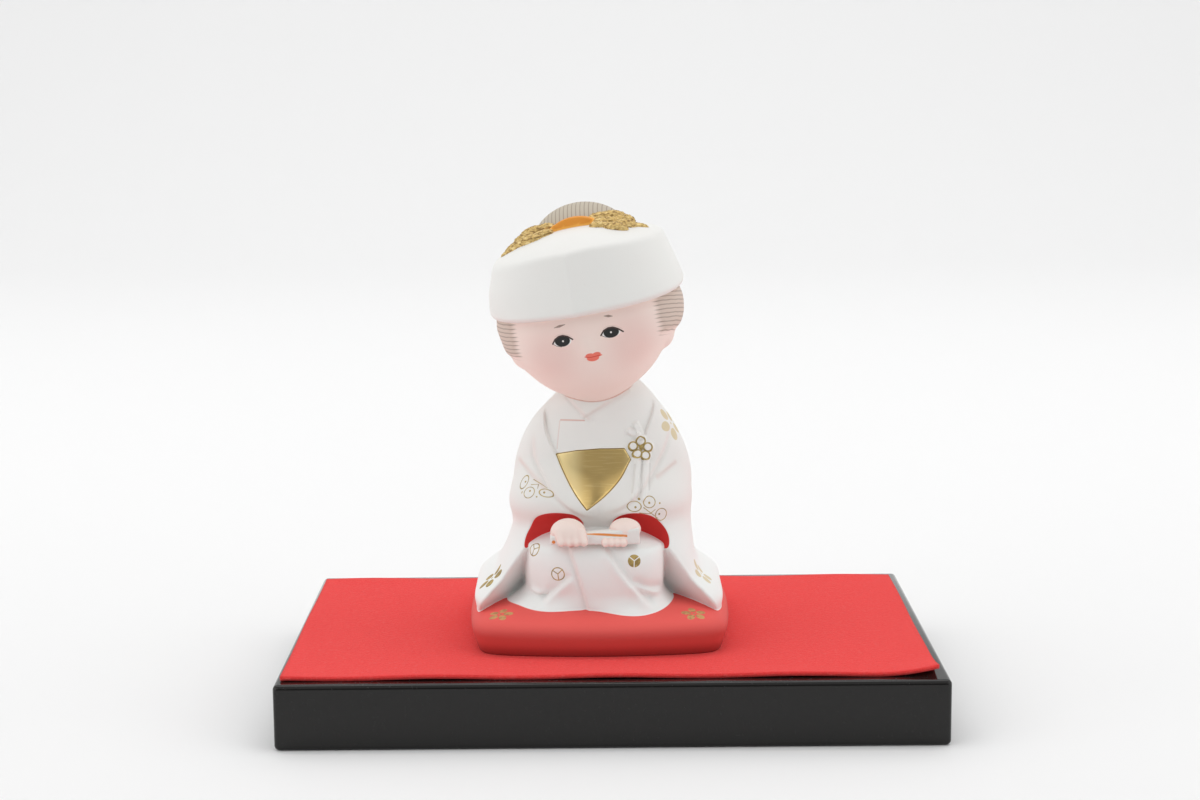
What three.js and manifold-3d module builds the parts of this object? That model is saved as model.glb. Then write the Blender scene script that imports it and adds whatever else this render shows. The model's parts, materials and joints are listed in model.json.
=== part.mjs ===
// A Hakata doll of fired clay: a bride kneeling on her cushion, on a red felt cloth and a lacquered stand.
// Millimetres, +Z up, and the doll faces -Y. The origin is on the ground under the middle of the stand.
import * as THREE from "three";
import { mergeVertices } from "three/addons/utils/BufferGeometryUtils.js";
import { RoundedBoxGeometry } from "three/addons/geometries/RoundedBoxGeometry.js";
import Module from "manifold-3d";

// Stand: a lacquered board with softened edges.
const STAND_WIDTH = 210;
const STAND_DEPTH = 140;
const STAND_HEIGHT = 21;
const STAND_EDGE_RADIUS = 1.6;

// Cloth: a loose rectangle of felt, a little smaller than the stand, with one front corner curling up.
const CLOTH_SIDE_MARGIN = 2.7;
const CLOTH_END_MARGIN = 6.5;
const CLOTH_THICKNESS = 1.25;
const CLOTH_SHIFT_X = -0.8;
const CLOTH_SHIFT_Y = -1.8;
const CLOTH_CURL_RISE = 2.2;
const CLOTH_CURL_REACH = 20;
const CLOTH_EDGE_WAVE = 0.5;
const CLOTH_EDGE_REACH = 10;

// Cushion: a square pillow cast in one with the figure, leaning out from its foot and crowned on top.
const CUSHION_WIDTH = 86.4;
const CUSHION_DEPTH = 88.4;
const CUSHION_HEIGHT = 14.3;
const CUSHION_CROWN = 4.9;
const CUSHION_EDGE_SOFTNESS = 3.2;

// Figure: its height over the middle of the cushion, and the place of the doll on the cloth.
const FIGURE_HEIGHT = 127.2;
const DOLL_X = -3.7;
const DOLL_Y = -3;

// The figure keeps its pose and proportions as shares of its height. Its tables below are in units that fill
// its height UNITS_IN_HEIGHT times, and their zero is UNITS_TO_SEAT under the top of the cushion. Only the
// skirt's spread follows the cushion, and SPREAD is the cushion's half width in those units.
const UNITS_IN_HEIGHT = 127.2;
const UNITS_TO_SEAT = 14.3;
const FIGURE_SCALE = FIGURE_HEIGHT / UNITS_IN_HEIGHT;
const SPREAD = CUSHION_WIDTH / 2 / FIGURE_SCALE;

const wasm = await Module();
wasm.setup();

const { clamp, lerp, smoothstep, degToRad } = THREE.MathUtils;

// Forms are signed fields: below zero inside and above zero outside. These two join and cut them, with a
// soft seam.
function joined(a, b, softness) {
  const h = clamp(0.5 + (0.5 * (b - a)) / softness, 0, 1);
  return b + (a - b) * h - softness * h * (1 - h);
}

function common(a, b, softness) {
  return -joined(-a, -b, softness);
}

function ovalField({ at, radii }, x, y, z) {
  const u = (x - at[0]) / radii[0];
  const v = (y - at[1]) / radii[1];
  const w = (z - at[2]) / radii[2];
  const reach = Math.hypot(u, v, w);
  const slope = Math.hypot(u / radii[0], v / radii[1], w / radii[2]);
  return (reach * (reach - 1)) / Math.max(slope, 1e-6);
}

// A form is a list of sections, smooth between them. Each is
// [height, middle x, half width, front y, back y, squareness].
function sectionAt(sections, z) {
  const last = sections.length - 1;
  let i = 0;
  while (i < last - 1 && sections[i + 1][0] < z) i += 1;
  const from = sections[i];
  const to = sections[i + 1];
  const before = sections[Math.max(i - 1, 0)];
  const after = sections[Math.min(i + 2, last)];
  const span = to[0] - from[0];
  const t = clamp((z - from[0]) / span, 0, 1);
  const ease = t * t * (3 - 2 * t);
  const leaveShare = (t * (1 - t) * (1 - t) * span) / (to[0] - before[0]);
  const arriveShare = (t * t * (1 - t) * span) / (after[0] - from[0]);
  const read = (k) => {
    const straight = from[k] + ease * (to[k] - from[k]);
    return straight + leaveShare * (to[k] - before[k]) - arriveShare * (after[k] - from[k]);
  };
  const [front, back] = [read(3), read(4)];
  return {
    middle: read(1),
    centre: (front + back) / 2,
    halfWidth: read(2),
    halfDepth: (back - front) / 2,
    squareness: read(5),
  };
}

function sectionField(sections, x, y, z) {
  const { middle, centre, halfWidth, halfDepth, squareness } = sectionAt(sections, z);
  const across = Math.abs(x - middle) / halfWidth;
  const along = Math.abs(y - centre) / halfDepth;
  const ring = (across ** squareness + along ** squareness) ** (1 / squareness);
  const side = (ring - 1) * Math.min(halfWidth, halfDepth) * 0.8;
  return Math.max(side, sections[0][0] - z, z - sections[sections.length - 1][0]);
}

// A closed skin of rings. Its columns start in front and go round by the right, and `place` gives each of
// its points.
function skin(columns, rings, place) {
  const profile = [new THREE.Vector2(0, -1)];
  for (let j = 1; j <= rings; j += 1) profile.push(new THREE.Vector2(1, (2 * j) / (rings + 1) - 1));
  profile.push(new THREE.Vector2(0, 1));
  const geometry = new THREE.LatheGeometry(profile, columns).rotateX(Math.PI / 2);
  const { position } = geometry.attributes;
  for (let i = 0; i <= columns; i += 1) {
    const angle = (2 * Math.PI * (i % columns)) / columns;
    for (let j = 0; j <= rings + 1; j += 1) position.setXYZ(i * (rings + 2) + j, ...place(angle, j));
  }
  return geometry;
}

// A skin straight through a form's sections at the heights given.
function lofted(sections, heights, columns) {
  return skin(columns, heights.length, (angle, j) => {
    const z = heights[clamp(j - 1, 0, heights.length - 1)];
    const { middle, centre, halfWidth, halfDepth, squareness } = sectionAt(sections, z);
    if (j === 0 || j === heights.length + 1) return [middle, centre, z];
    const [s, c] = [Math.sin(angle), Math.cos(angle)];
    const x = middle + halfWidth * Math.sign(s) * Math.abs(s) ** (2 / squareness);
    const y = centre - halfDepth * Math.sign(c) * Math.abs(c) ** (2 / squareness);
    return [x, y, z];
  });
}

// A skin whose points lie on rays from a middle point, where each ray last leaves the field. `crowding`
// packs the columns towards the front.
const RAY_STEP_SHARE = 0.6;
const RAY_LEAST_STEP = 0.2;
const RAY_GREATEST_STEP = 5;
const RAY_LEAST_REACH = 1.5;
const RAY_HALVINGS = 9;

function lastExit(field, [cx, cy, cz], [dx, dy, dz], reach) {
  const at = (r) => field(cx + dx * r, cy + dy * r, cz + dz * r);
  let outside = reach;
  let inside = reach;
  for (let d = at(inside); d > 0 && inside > RAY_LEAST_REACH; d = at(inside)) {
    outside = inside;
    inside -= clamp(d * RAY_STEP_SHARE, RAY_LEAST_STEP, RAY_GREATEST_STEP);
  }
  for (let i = 0; i < RAY_HALVINGS; i += 1) {
    const half = (inside + outside) / 2;
    if (at(half) > 0) outside = half;
    else inside = half;
  }
  return Math.max(inside, RAY_LEAST_REACH);
}

function wrapped({ columns, elevations, crowding = 0, middle, reach }, field, relief = () => 0) {
  const rows = [-90, ...elevations, 90].map(degToRad);
  return skin(columns, elevations.length, (angle, j) => {
    const turned = angle - crowding * Math.sin(angle);
    const level = Math.cos(rows[j]);
    const ray = [level * Math.sin(turned), -level * Math.cos(turned), Math.sin(rows[j])];
    const r = lastExit(field, middle, ray, reach);
    const surface = middle.map((c, k) => c + ray[k] * r);
    const rise = relief(...surface);
    return surface.map((value, k) => value + ray[k] * rise);
  });
}

function steps(from, to, count) {
  return Array.from({ length: count }, (_, i) => lerp(from, to, i / (count - 1)));
}

// A closed geometry as a solid, and a solid as a geometry.
function solid(geometry) {
  const bare = new THREE.BufferGeometry().setAttribute("position", geometry.attributes.position);
  if (geometry.index) bare.setIndex(geometry.index);
  const merged = mergeVertices(bare, 1e-3);
  const corners = merged.index.array;
  const kept = [];
  for (let i = 0; i < corners.length; i += 3) {
    const [a, b, c] = corners.slice(i, i + 3);
    if (a !== b && b !== c && c !== a) kept.push(a, b, c);
  }
  const vertProperties = new Float32Array(merged.attributes.position.array);
  return new wasm.Manifold(new wasm.Mesh({ numProp: 3, vertProperties, triVerts: new Uint32Array(kept) }));
}

function geometryOf(manifold) {
  const { numVert, numProp, vertProperties, triVerts } = manifold.getMesh();
  const position = new Float32Array(numVert * 3);
  for (let i = 0; i < numVert; i += 1) {
    position.set(vertProperties.subarray(i * numProp, i * numProp + 3), i * 3);
  }
  const geometry = new THREE.BufferGeometry();
  geometry.setAttribute("position", new THREE.BufferAttribute(position, 3));
  geometry.setIndex(new THREE.BufferAttribute(new Uint32Array(triVerts), 1));
  return geometry;
}

function oval({ at, radii }, sides, rings, turn = new THREE.Matrix4()) {
  const geometry = new THREE.SphereGeometry(1, sides, rings).rotateX(Math.PI / 2).scale(...radii);
  return solid(geometry.applyMatrix4(turn).translate(...at));
}

function rod(from, to, radius, sides) {
  const [a, b] = [new THREE.Vector3(...from), new THREE.Vector3(...to)];
  const along = b.clone().sub(a);
  const upright = new THREE.Vector3(0, 1, 0);
  const turn = new THREE.Quaternion().setFromUnitVectors(upright, along.clone().normalize());
  const capsule = new THREE.CapsuleGeometry(radius, along.length(), 1, sides).applyQuaternion(turn);
  return solid(capsule.translate(...a.add(b).multiplyScalar(0.5)));
}

function together(solids) {
  return solids.reduce((sum, each) => sum.add(each));
}

// Where two skins nearly touch, joining them leaves slivers, and a crumb or a bubble here and there. Points
// closer than the seam's tolerance are drawn together, and only the one great shell is kept.
const SEAM_TOLERANCE = 0.02;

function greatest(joinedSolid) {
  const shells = joinedSolid.setTolerance(SEAM_TOLERANCE).decompose();
  return shells.reduce((most, each) => (each.numTri() > most.numTri() ? each : most));
}

// Cushion: its plan bows out between drawn corners, and its sides lean out from the foot to a soft belt.
const CUSHION_BELT_SHARE = 0.63;
const CUSHION_LEAN = 0.06;
const CUSHION_SIDE_BOW = 3.2;
const CUSHION_FRONT_BOW = 5.2;
const CUSHION_SQUARENESS = 14;

function cushionField(x, y, z) {
  const halfWidth = CUSHION_WIDTH / 2 - CUSHION_SIDE_BOW * (y / (CUSHION_DEPTH / 2)) ** 2;
  const halfDepth = CUSHION_DEPTH / 2 - CUSHION_FRONT_BOW * (x / (CUSHION_WIDTH / 2)) ** 2;
  const n = CUSHION_SQUARENESS;
  const ring = (Math.abs(x / halfWidth) ** n + Math.abs(y / halfDepth) ** n) ** (1 / n);
  const belt = CUSHION_BELT_SHARE * CUSHION_HEIGHT;
  const lean = 1 - CUSHION_LEAN * (Math.max(belt - z, 0) / belt) ** 1.4;
  const side = ((ring / lean - 1) * CUSHION_WIDTH) / 2;
  const top = z - CUSHION_HEIGHT + CUSHION_CROWN * Math.min(ring, 1.2) ** 4;
  return common(side, top, CUSHION_EDGE_SOFTNESS);
}

function cushion() {
  const elevations = [-2.6, 1, 5, 8.5, 10.5, 12.5, 16, 25];
  const lattice = { columns: 36, elevations, middle: [0, 0, 2], reach: 68 };
  const geometry = wrapped(lattice, cushionField);
  const { position } = geometry.attributes;
  for (let i = 0; i < position.count; i += 1) {
    const foot = i % (elevations.length + 2) < 2;
    position.setZ(i, foot ? 0 : Math.max(position.getZ(i), 0));
  }
  return solid(geometry);
}

// Body: the torso, the arms folded in wide sleeves, and the sash's bow under the outer robe behind.
const TORSO = [
  [8, 0, 23, -8, 26, 2.3], [30, 0.5, 26, -16, 23, 2.3], [38, 0.8, 27.8, -19.5, 22.5, 2.3],
  [43, 1.3, 29.2, -20.8, 22.2, 2.3], [48, 1.3, 29.6, -20, 21.8, 2.3], [54, 1.3, 29.3, -18.9, 21, 2.3],
  [60, 1.2, 27.9, -17.8, 19.4, 2.3], [66, 1.1, 25.4, -16.6, 17.2, 2.3], [71, 1.2, 22.4, -15.5, 15, 2.3],
  [75, 1.5, 19.2, -14.5, 13, 2.3], [79, 1.9, 15.7, -13.4, 11, 2.3], [83, 1.8, 11.8, -11, 9, 2.3],
  [86, 1.9, 7.2, -8, 6, 2.3],
];
const ARMS = [
  { at: [-14.5, -11, 44.5], radii: [13.6, 12.8, 9] },
  { at: [13.5, -11, 44.5], radii: [13.4, 12.8, 9] },
];
const ARM_SOFTNESS = 7;
const BACK_BOW = { at: [1, 13, 50], radii: [16, 11, 14] };
const BACK_BOW_SOFTNESS = 8;

function bodyField(x, y, z) {
  let field = sectionField(TORSO, x, y, z);
  for (const arm of ARMS) field = joined(field, ovalField(arm, x, y, z), ARM_SOFTNESS);
  return joined(field, ovalField(BACK_BOW, x, y, z), BACK_BOW_SOFTNESS);
}

// The body's skin raised or sunk by one amount all over, made from a single wrap.
function bodySkins() {
  const lattice = {
    columns: 36,
    elevations: [-60, -32, ...steps(-20, 76, 16)],
    crowding: 0.3,
    middle: [1, 0, 48],
    reach: 60,
  };
  const base = wrapped(lattice, bodyField);
  const middle = new THREE.Vector3(...lattice.middle);
  return (rise) => {
    const geometry = base.clone();
    const { position } = geometry.attributes;
    const point = new THREE.Vector3();
    for (let i = 0; i < position.count; i += 1) {
      point.fromBufferAttribute(position, i).sub(middle);
      point.setLength(point.length() + rise).add(middle);
      position.setXYZ(i, point.x, point.y, point.z);
    }
    return solid(geometry);
  };
}

// Outlines on the chest, as [x, z]. The outer robe's edges fall from the neck and cross low in front.
const ROBE_EDGE_LEFT = [
  [-3.9, 43.3], [-6.9, 47.5], [-9.7, 52], [-12.3, 57], [-14.1, 61.2], [-15.9, 64.6], [-17.5, 70],
  [-17.4, 75.5], [-16.1, 79], [-14, 84],
];
const ROBE_EDGE_RIGHT = [
  [-3.9, 43.3], [-0.2, 46], [3.3, 49.1], [7.4, 53.7], [10.6, 59.2], [13.4, 63], [15.5, 67.3], [16.9, 71],
  [18.2, 75.4], [18.1, 78.6], [16.5, 84],
];
const ROBE_BAND_LEFT = [[-21, 68], [-20.9, 60], [-17.7, 54], [-13, 47.4], [-6.6, 42.4], [-1, 40.6]];
const ROBE_BAND_RIGHT = [
  [24.2, 70], [21.4, 62.1], [17.8, 55.7], [12, 48.2], [4.5, 44], [-1.8, 41.2], [-6, 40.6],
];
const SASH_TOP = 62.6;
const COLLARS = [
  [[-14, 84], [-12.8, 82], [-8.6, 77.6], [-4.2, 73.2], [-2, 70.6], [-6.8, 70.6], [-11.6, 74], [-17, 79]],
  [[16, 84], [9.9, 81.8], [3, 77.4], [-2.7, 73.9], [-5.6, 72.2], [-2.4, 69.6], [3.2, 71], [17.6, 77.4]],
];
const UNDER_ROBE_DEPTH = 1.1;
const SASH_RISE = 0.45;
const COLLAR_RISE = 0.45;
const BAND_RISE = 0.4;

function prism(outline) {
  const shape = new THREE.Shape(outline.map(([x, z]) => new THREE.Vector2(x, z)));
  const geometry = new THREE.ExtrudeGeometry(shape, { depth: 40, bevelEnabled: false });
  return solid(geometry.rotateX(Math.PI / 2));
}

function below(edge, top) {
  return [...edge.filter(([, z]) => z < top), [xAt(edge, top), top]];
}

function xAt(edge, z) {
  const i = Math.max(edge.findIndex((point) => point[1] >= z), 1);
  const t = (z - edge[i - 1][1]) / (edge[i][1] - edge[i - 1][1]);
  return lerp(edge[i - 1][0], edge[i][0], t);
}

// Sleeve mouths: hollows in the front of the arms, which leave thin lips round the hands.
const SLEEVE_MOUTHS = [
  { at: [-14.1, -27, 35.6], radii: [13.6, 9.6, 7.9] },
  { at: [11.7, -27, 35.2], radii: [12, 9.5, 8] },
];

function body() {
  const bodySkin = bodySkins();
  const opening = [...ROBE_EDGE_LEFT, ...[...ROBE_EDGE_RIGHT].reverse()].slice(0, -1);
  const sash = [...below(ROBE_EDGE_LEFT, SASH_TOP), ...below(ROBE_EDGE_RIGHT, SASH_TOP).reverse()];
  const sides = [[ROBE_EDGE_LEFT, ROBE_BAND_LEFT], [ROBE_EDGE_RIGHT, ROBE_BAND_RIGHT]];
  const bands = sides.map(([edge, band]) => {
    const top = band[0][1];
    return bodySkin(BAND_RISE).intersect(prism([...below(edge, top), ...band]));
  });
  const collarSkin = bodySkin(COLLAR_RISE - UNDER_ROBE_DEPTH);
  const collars = COLLARS.map((outline) => collarSkin.intersect(prism(outline)));
  const sashSolid = bodySkin(SASH_RISE - UNDER_ROBE_DEPTH).intersect(prism(sash.slice(0, -1)));
  const outer = together([bodySkin(0), ...bands]).subtract(prism(opening));
  const dressed = together([outer, bodySkin(-UNDER_ROBE_DEPTH), sashSolid, ...collars]);
  return SLEEVE_MOUTHS.reduce((sum, mouth) => sum.subtract(oval(mouth, 14, 10)), dressed);
}

// Outer robe: its skirt spreads over the cushion to two tips, and stands open in front between two slanting
// faces, each given by its upper corner, its tip and its root.
const OUTER_ROBE = [
  [8, -0.2, 0.917 * SPREAD, -33, 35, 6], [12.5, -0.2, 0.94 * SPREAD, -33.5, 35.6, 6],
  [15, -0.3, 0.942 * SPREAD, -33, 35.4, 5.5], [18, -0.35, 0.88 * SPREAD, -32.5, 34.2, 5],
  [21.5, -0.4, 0.785 * SPREAD, -31.5, 32, 4.6], [26, -0.1, 31.8, -30.5, 30, 4],
  [30.5, 0.5, 30.7, -29, 28.8, 3.4], [35, 0.9, 29.8, -27, 27.8, 3], [41, 1.1, 29.1, -24, 26.8, 2.6],
  [46, 1.1, 28, -19, 25.4, 2.4], [50, 1.1, 24, -12, 23.5, 2.3],
];
const OUTER_ROBE_ROWS = [8, 12.5, 15, 17, 19, 21.5, 25, 30, 36, 42, 48];
const OPENING_FACES = [
  { corner: [-24.6, -26, 33.2], tip: [-0.917 * SPREAD, -27.5, 12.3], root: [-29.2, -12, 12.5] },
  { corner: [22.4, -26, 32.2], tip: [0.9 * SPREAD, -29.5, 12.3], root: [24.9, -13.5, 12.5] },
];
const OPENING_SIZE = [100, 60, 60];

function outerRobe() {
  const [, depth, height] = OPENING_SIZE;
  const block = solid(new THREE.BoxGeometry(...OPENING_SIZE).translate(0, -depth / 2, height / 2));
  const front = OPENING_FACES.reduce((sum, { corner, tip, root }) => {
    const face = new THREE.Plane();
    face.setFromCoplanarPoints(...[corner, tip, root].map((p) => new THREE.Vector3(...p)));
    if (face.normal.y > 0) face.negate();
    return sum.trimByPlane(face.normal.toArray(), -face.constant);
  }, block);
  return solid(lofted(OUTER_ROBE, OUTER_ROBE_ROWS, 40)).subtract(front);
}

// Lap: the knees under the inner robe, turned a little to the doll's left, over two lobes of hem.
const LAP = [
  [9, -1.8, 22.6, -32.5, 10, 3], [17, -1.8, 22.6, -32.6, 10, 3.2], [21, -1.8, 22.8, -33, 10, 3.4],
  [26, -1.8, 23, -33, 10, 3.4], [30, -1.8, 23.1, -32.4, 9, 3.2], [32.4, -1.8, 22.8, -31.2, 8, 3],
  [33.6, -1.8, 20.6, -29.8, 7, 2.8], [35, -1.8, 17.3, -27.4, 5, 2.6], [36.4, -1.8, 13.6, -23.6, 2, 2.3],
  [37.6, -1.8, 9.5, -19, 0, 2.2],
];
const LAP_TURN = 0.13;
const HEMS = [
  { at: [-15.8, -16, 10.6], radii: [16, 18.2, 6] },
  { at: [10.7, -18, 10.6], radii: [15.6, 19, 6] },
];
const HEM_PARTING = 0.6;
const HEM_SOFTNESS = 4;

function lapField(x, y, z) {
  const hem = joined(ovalField(HEMS[0], x, y, z), ovalField(HEMS[1], x, y, z), HEM_PARTING);
  return joined(sectionField(LAP, x, y + LAP_TURN * (x + 2), z), hem, HEM_SOFTNESS);
}

// A fold follows a curve through points in x and z. Beside it the cloth stands proud by the first number of
// `left` and `right`, dying away over the second, and the fold fades at both ends.
const LAP_FOLDS = [
  { left: [0.6, 3.5], right: [-0.9, 1.6], points: [[-10.6, 35], [-8, 27.8], [-5.4, 19.1], [-3.6, 11.5]] },
  {
    left: [-1.2, 2.4],
    right: [0.9, 2.6],
    points: [[1, 34.5], [3.6, 31], [7, 25.6], [11.9, 19.4], [17.4, 13.4]],
  },
  { left: [-1, 2.2], right: [0.7, 1.8], points: [[9.9, 23], [14, 20.3], [20.5, 18.2]] },
  {
    left: [0.8, 2.2],
    right: [-1.1, 2.2],
    points: [[-8.3, 24.6], [-11.5, 21.4], [-14.6, 18.4], [-19.2, 14.8]],
  },
];
const FOLD_TURNOVER = 0.5;
const FOLD_FADE = 0.18;

const lapFoldLines = LAP_FOLDS.map(({ points, left, right }) => {
  const spline = new THREE.SplineCurve(points.map(([x, z]) => new THREE.Vector2(x, z)));
  return { line: spline.getPoints(4 * (points.length - 1)), left, right };
});

function foldRise({ line, left, right }, x, z) {
  let distance = Infinity;
  let signed = 0;
  let share = 0;
  for (let i = 0; i < line.length - 1; i += 1) {
    const [a, b] = [line[i], line[i + 1]];
    const [dx, dz] = [b.x - a.x, b.y - a.y];
    const t = clamp(((x - a.x) * dx + (z - a.y) * dz) / (dx * dx + dz * dz), 0, 1);
    const d = Math.hypot(x - a.x - t * dx, z - a.y - t * dz);
    if (d < distance) {
      distance = d;
      signed = d * Math.sign(dx * (z - a.y) - dz * (x - a.x));
      share = (i + t) / (line.length - 1);
    }
  }
  const onLeft = 1 / (1 + Math.exp(-signed / FOLD_TURNOVER));
  const leftRise = left[0] * Math.exp(-((distance / left[1]) ** 2));
  const rightRise = right[0] * Math.exp(-((distance / right[1]) ** 2));
  const ends = smoothstep(share, 0, FOLD_FADE) * smoothstep(1 - share, 0, FOLD_FADE);
  return lerp(rightRise, leftRise, onLeft) * ends;
}

function lapRelief(x, y, z) {
  const front = smoothstep(-y, 20, 26);
  if (front === 0) return 0;
  return front * lapFoldLines.reduce((sum, each) => sum + foldRise(each, x, z), 0);
}

function lap() {
  const elevations = [-30, -8, -2, 3, 8, ...steps(14, 60, 11)];
  const lattice = { columns: 34, elevations, crowding: 0.4, middle: [-2, -13, 11.5], reach: 42 };
  return solid(wrapped(lattice, lapField, lapRelief));
}

// Hands: the backs of both hands, their fingers, and the closed fan that lies across between them.
const HAND_BACKS = [
  { at: [-10, -28.4, 37.8], radii: [5.7, 5.2, 4.5] },
  { at: [8.4, -27.4, 38.5], radii: [5.1, 5, 3.5] },
];
const FINGERS = [
  { from: [-12.8, -31.2, 38.2], to: [-12.1, -33.2, 35.5], pitch: 2.4, radius: 1.4 },
  { from: [1.8, -30, 37], to: [2, -32.8, 35], pitch: 1.95, radius: 1.2 },
];
const FINGER_COUNT = 4;
const FAN = { at: [-1.4, -28.9, 36.4], size: [28.4, 6.4, 3.8], tilt: degToRad(-2.5) };

function hands() {
  const backs = HAND_BACKS.map((back) => oval(back, 10, 6));
  const fingers = FINGERS.flatMap(({ from, to, pitch, radius }) =>
    Array.from({ length: FINGER_COUNT }, (_, i) => {
      const [start, end] = [from, to].map(([x, y, z]) => [x + i * pitch, y, z]);
      return rod(start, end, radius, 6);
    }));
  const fan = solid(new THREE.BoxGeometry(...FAN.size).rotateY(FAN.tilt).translate(...FAN.at));
  return [...backs, ...fingers, fan];
}

// Chest ornament: a five-petalled flower tucked in the robe's edge, with its cord's tassels hanging below.
const FLOWER = { x: 14.1, z: 63, petals: 5, reach: 2.7, petalRadii: [1.9, 1, 1.7] };
const TASSELS = { tops: [12.3, 13.6, 14.8, 15.9], feet: [10.6, 12.2, 13.8, 15.2] };
const TASSEL = { top: 59.4, foot: 47.8, radius: 0.75 };

function frontOfBody(x, z) {
  return -lastExit(bodyField, [x, 0, z], [0, -1, 0], 40);
}

function chestOrnament() {
  const petals = Array.from({ length: FLOWER.petals }, (_, i) => {
    const angle = (2 * Math.PI * i) / FLOWER.petals;
    const [x, z] = [FLOWER.x + FLOWER.reach * Math.sin(angle), FLOWER.z + FLOWER.reach * Math.cos(angle)];
    return oval({ at: [x, frontOfBody(x, z), z], radii: FLOWER.petalRadii }, 6, 4);
  });
  const tassels = TASSELS.tops.map((top, i) => {
    const foot = TASSELS.feet[i];
    const from = [top, frontOfBody(top, TASSEL.top), TASSEL.top];
    return rod(from, [foot, frontOfBody(foot, TASSEL.foot), TASSEL.foot], TASSEL.radius, 4);
  });
  return [...petals, ...tassels];
}

// Head, in a frame of its own: it leans to the doll's right shoulder and turns a little that way.
const HEAD_CENTRE = [-2.4, -2, 101.5];
const HEAD_LEAN = degToRad(-10);
const HEAD_TURN = degToRad(-5);
const HEAD_FRAME = new THREE.Matrix4()
  .makeRotationY(HEAD_LEAN)
  .multiply(new THREE.Matrix4().makeRotationZ(HEAD_TURN))
  .setPosition(...HEAD_CENTRE);

const FACE = [
  [-25.5, -0.1, 0.8, -3, 1, 2.15], [-24.9, -0.1, 3.2, -6.8, 3.4, 2.15], [-23.3, 0, 6.7, -11.8, 7.4, 2.15],
  [-21.3, 0, 10.4, -15.5, 10.6, 2.15], [-18.4, 0, 15.3, -19.1, 14.4, 2.15],
  [-15.5, 0, 18.9, -21.5, 17.5, 2.15], [-11.7, 0, 22.3, -23.6, 20.5, 2.15],
  [-8, 0.2, 25.4, -24.8, 22.5, 2.15], [-4, 0.6, 28.2, -25.4, 24, 2.15], [0, 0.9, 29.6, -25.6, 25, 2.15],
  [6, 0.7, 30, -25.6, 26, 2.15], [12, 0.6, 27, -23, 24, 2.15], [20, 0.8, 12, -12, 14, 2.15],
];
const NOSE = { at: [0.2, -23.6, -4.2], radii: [1.5, 1.7, 2.4] };
const NOSE_SOFTNESS = 3;
const EARS = [
  { at: [-23.2, -3, -6], radii: [3.2, 4.5, 3.6] },
  { at: [23.6, -3, -6.6], radii: [3, 4.5, 3.9] },
];
const EAR_SOFTNESS = 2;
const HAIR_RISE = 0.6;
const HAIR_FOOT = -5.1;
const HAIR_FOOT_SLOPE = 0.06;
const HAIR_FRONT = 23.6;
const BUN = { at: [1.4, 9, 24.4], radii: [17.6, 15.5, 15.4] };
const NECK = { radius: 9.5, at: [1, 1, 80], height: 16 };

function faceField(x, y, z) {
  let field = joined(sectionField(FACE, x, y, z), ovalField(NOSE, x, y, z), NOSE_SOFTNESS);
  for (const ear of EARS) field = joined(field, ovalField(ear, x, y, z), EAR_SOFTNESS);
  return field;
}

// The hair stands a little proud of the face, from its foot up to the hood and from the temples back.
function hairRise(x, y, z) {
  const behindTemple = Math.abs(x) + 2 * Math.max(y + 4, 0);
  const foot = HAIR_FOOT - HAIR_FOOT_SLOPE * Math.min(y, 0);
  const above = smoothstep(z, foot - 0.5, foot + 0.5);
  return HAIR_RISE * above * smoothstep(behindTemple, HAIR_FRONT, HAIR_FRONT + 1);
}

function face() {
  const elevations = [...steps(-80, -17, 11), -12.6, -10.2, -3, 6, 30];
  const lattice = { columns: 34, elevations, crowding: 0.25, middle: [0, 0, 0], reach: 40 };
  return solid(wrapped(lattice, faceField, hairRise));
}

// Hood: a stiff band flaring down to a rounded rim that rises a little to the back, with a keel in front,
// under a domed top. The rim is HOOD_RIM high in front, and the field is level along it.
const HOOD_RIM = 6.9;
const HOOD_RIM_FRONT = -30;
const HOOD_RIM_SLOPE = 0.06;
const HOOD_RIM_SOFTNESS = 2.4;
const HOOD_BAND = [
  [4, 1.2, 32.8, -30.8, 30, 2.3], [8, 1.1, 32.3, -30.2, 29.4, 2.3], [12, 0.9, 32, -29.4, 28.6, 2.3],
  [17, 0.7, 31, -28.4, 27.6, 2.3], [22, 0.9, 29.5, -27.4, 26.6, 2.3], [27.5, 1, 27.8, -26.2, 25.4, 2.3],
  [36, 0.9, 25.4, -24.6, 23.8, 2.3],
];
const HOOD_DOME = { at: [2, 0, 6.6], radii: [41.5, 42, 27.2] };
const HOOD_SOFTNESS = 1;
const HOOD_KEEL = 1.3;
const HOOD_KEEL_X = -0.9;
const HOOD_KEEL_REACH = 7;
const HOOD_RIM_ROWS = 2;

function rimRise(y) {
  return HOOD_RIM_SLOPE * (y - HOOD_RIM_FRONT);
}

function hoodField(x, y, level) {
  const z = level + rimRise(y);
  const keel = y < 0 ? HOOD_KEEL * Math.exp(-Math.abs(x - HOOD_KEEL_X) / HOOD_KEEL_REACH) : 0;
  const band = sectionField(HOOD_BAND, x, y + keel, z);
  const domed = common(band, ovalField(HOOD_DOME, x, y, z), HOOD_SOFTNESS);
  return common(domed, HOOD_RIM - level, HOOD_RIM_SOFTNESS);
}

function hood() {
  const elevations = [-20, 0.2, 1.4, 4, 12, 20, 28, 33, 36, 41, 50, 64];
  const lattice = { columns: 36, elevations, middle: [0, 0, HOOD_RIM], reach: 46 };
  const geometry = wrapped(lattice, hoodField);
  const { position } = geometry.attributes;
  for (let i = 0; i < position.count; i += 1) {
    if (i % (elevations.length + 2) < HOOD_RIM_ROWS) {
      position.setXYZ(i, position.getX(i) * 0.1, position.getY(i) * 0.1, HOOD_RIM);
    }
    position.setZ(i, position.getZ(i) + rimRise(position.getY(i)));
  }
  return solid(geometry);
}

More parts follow.
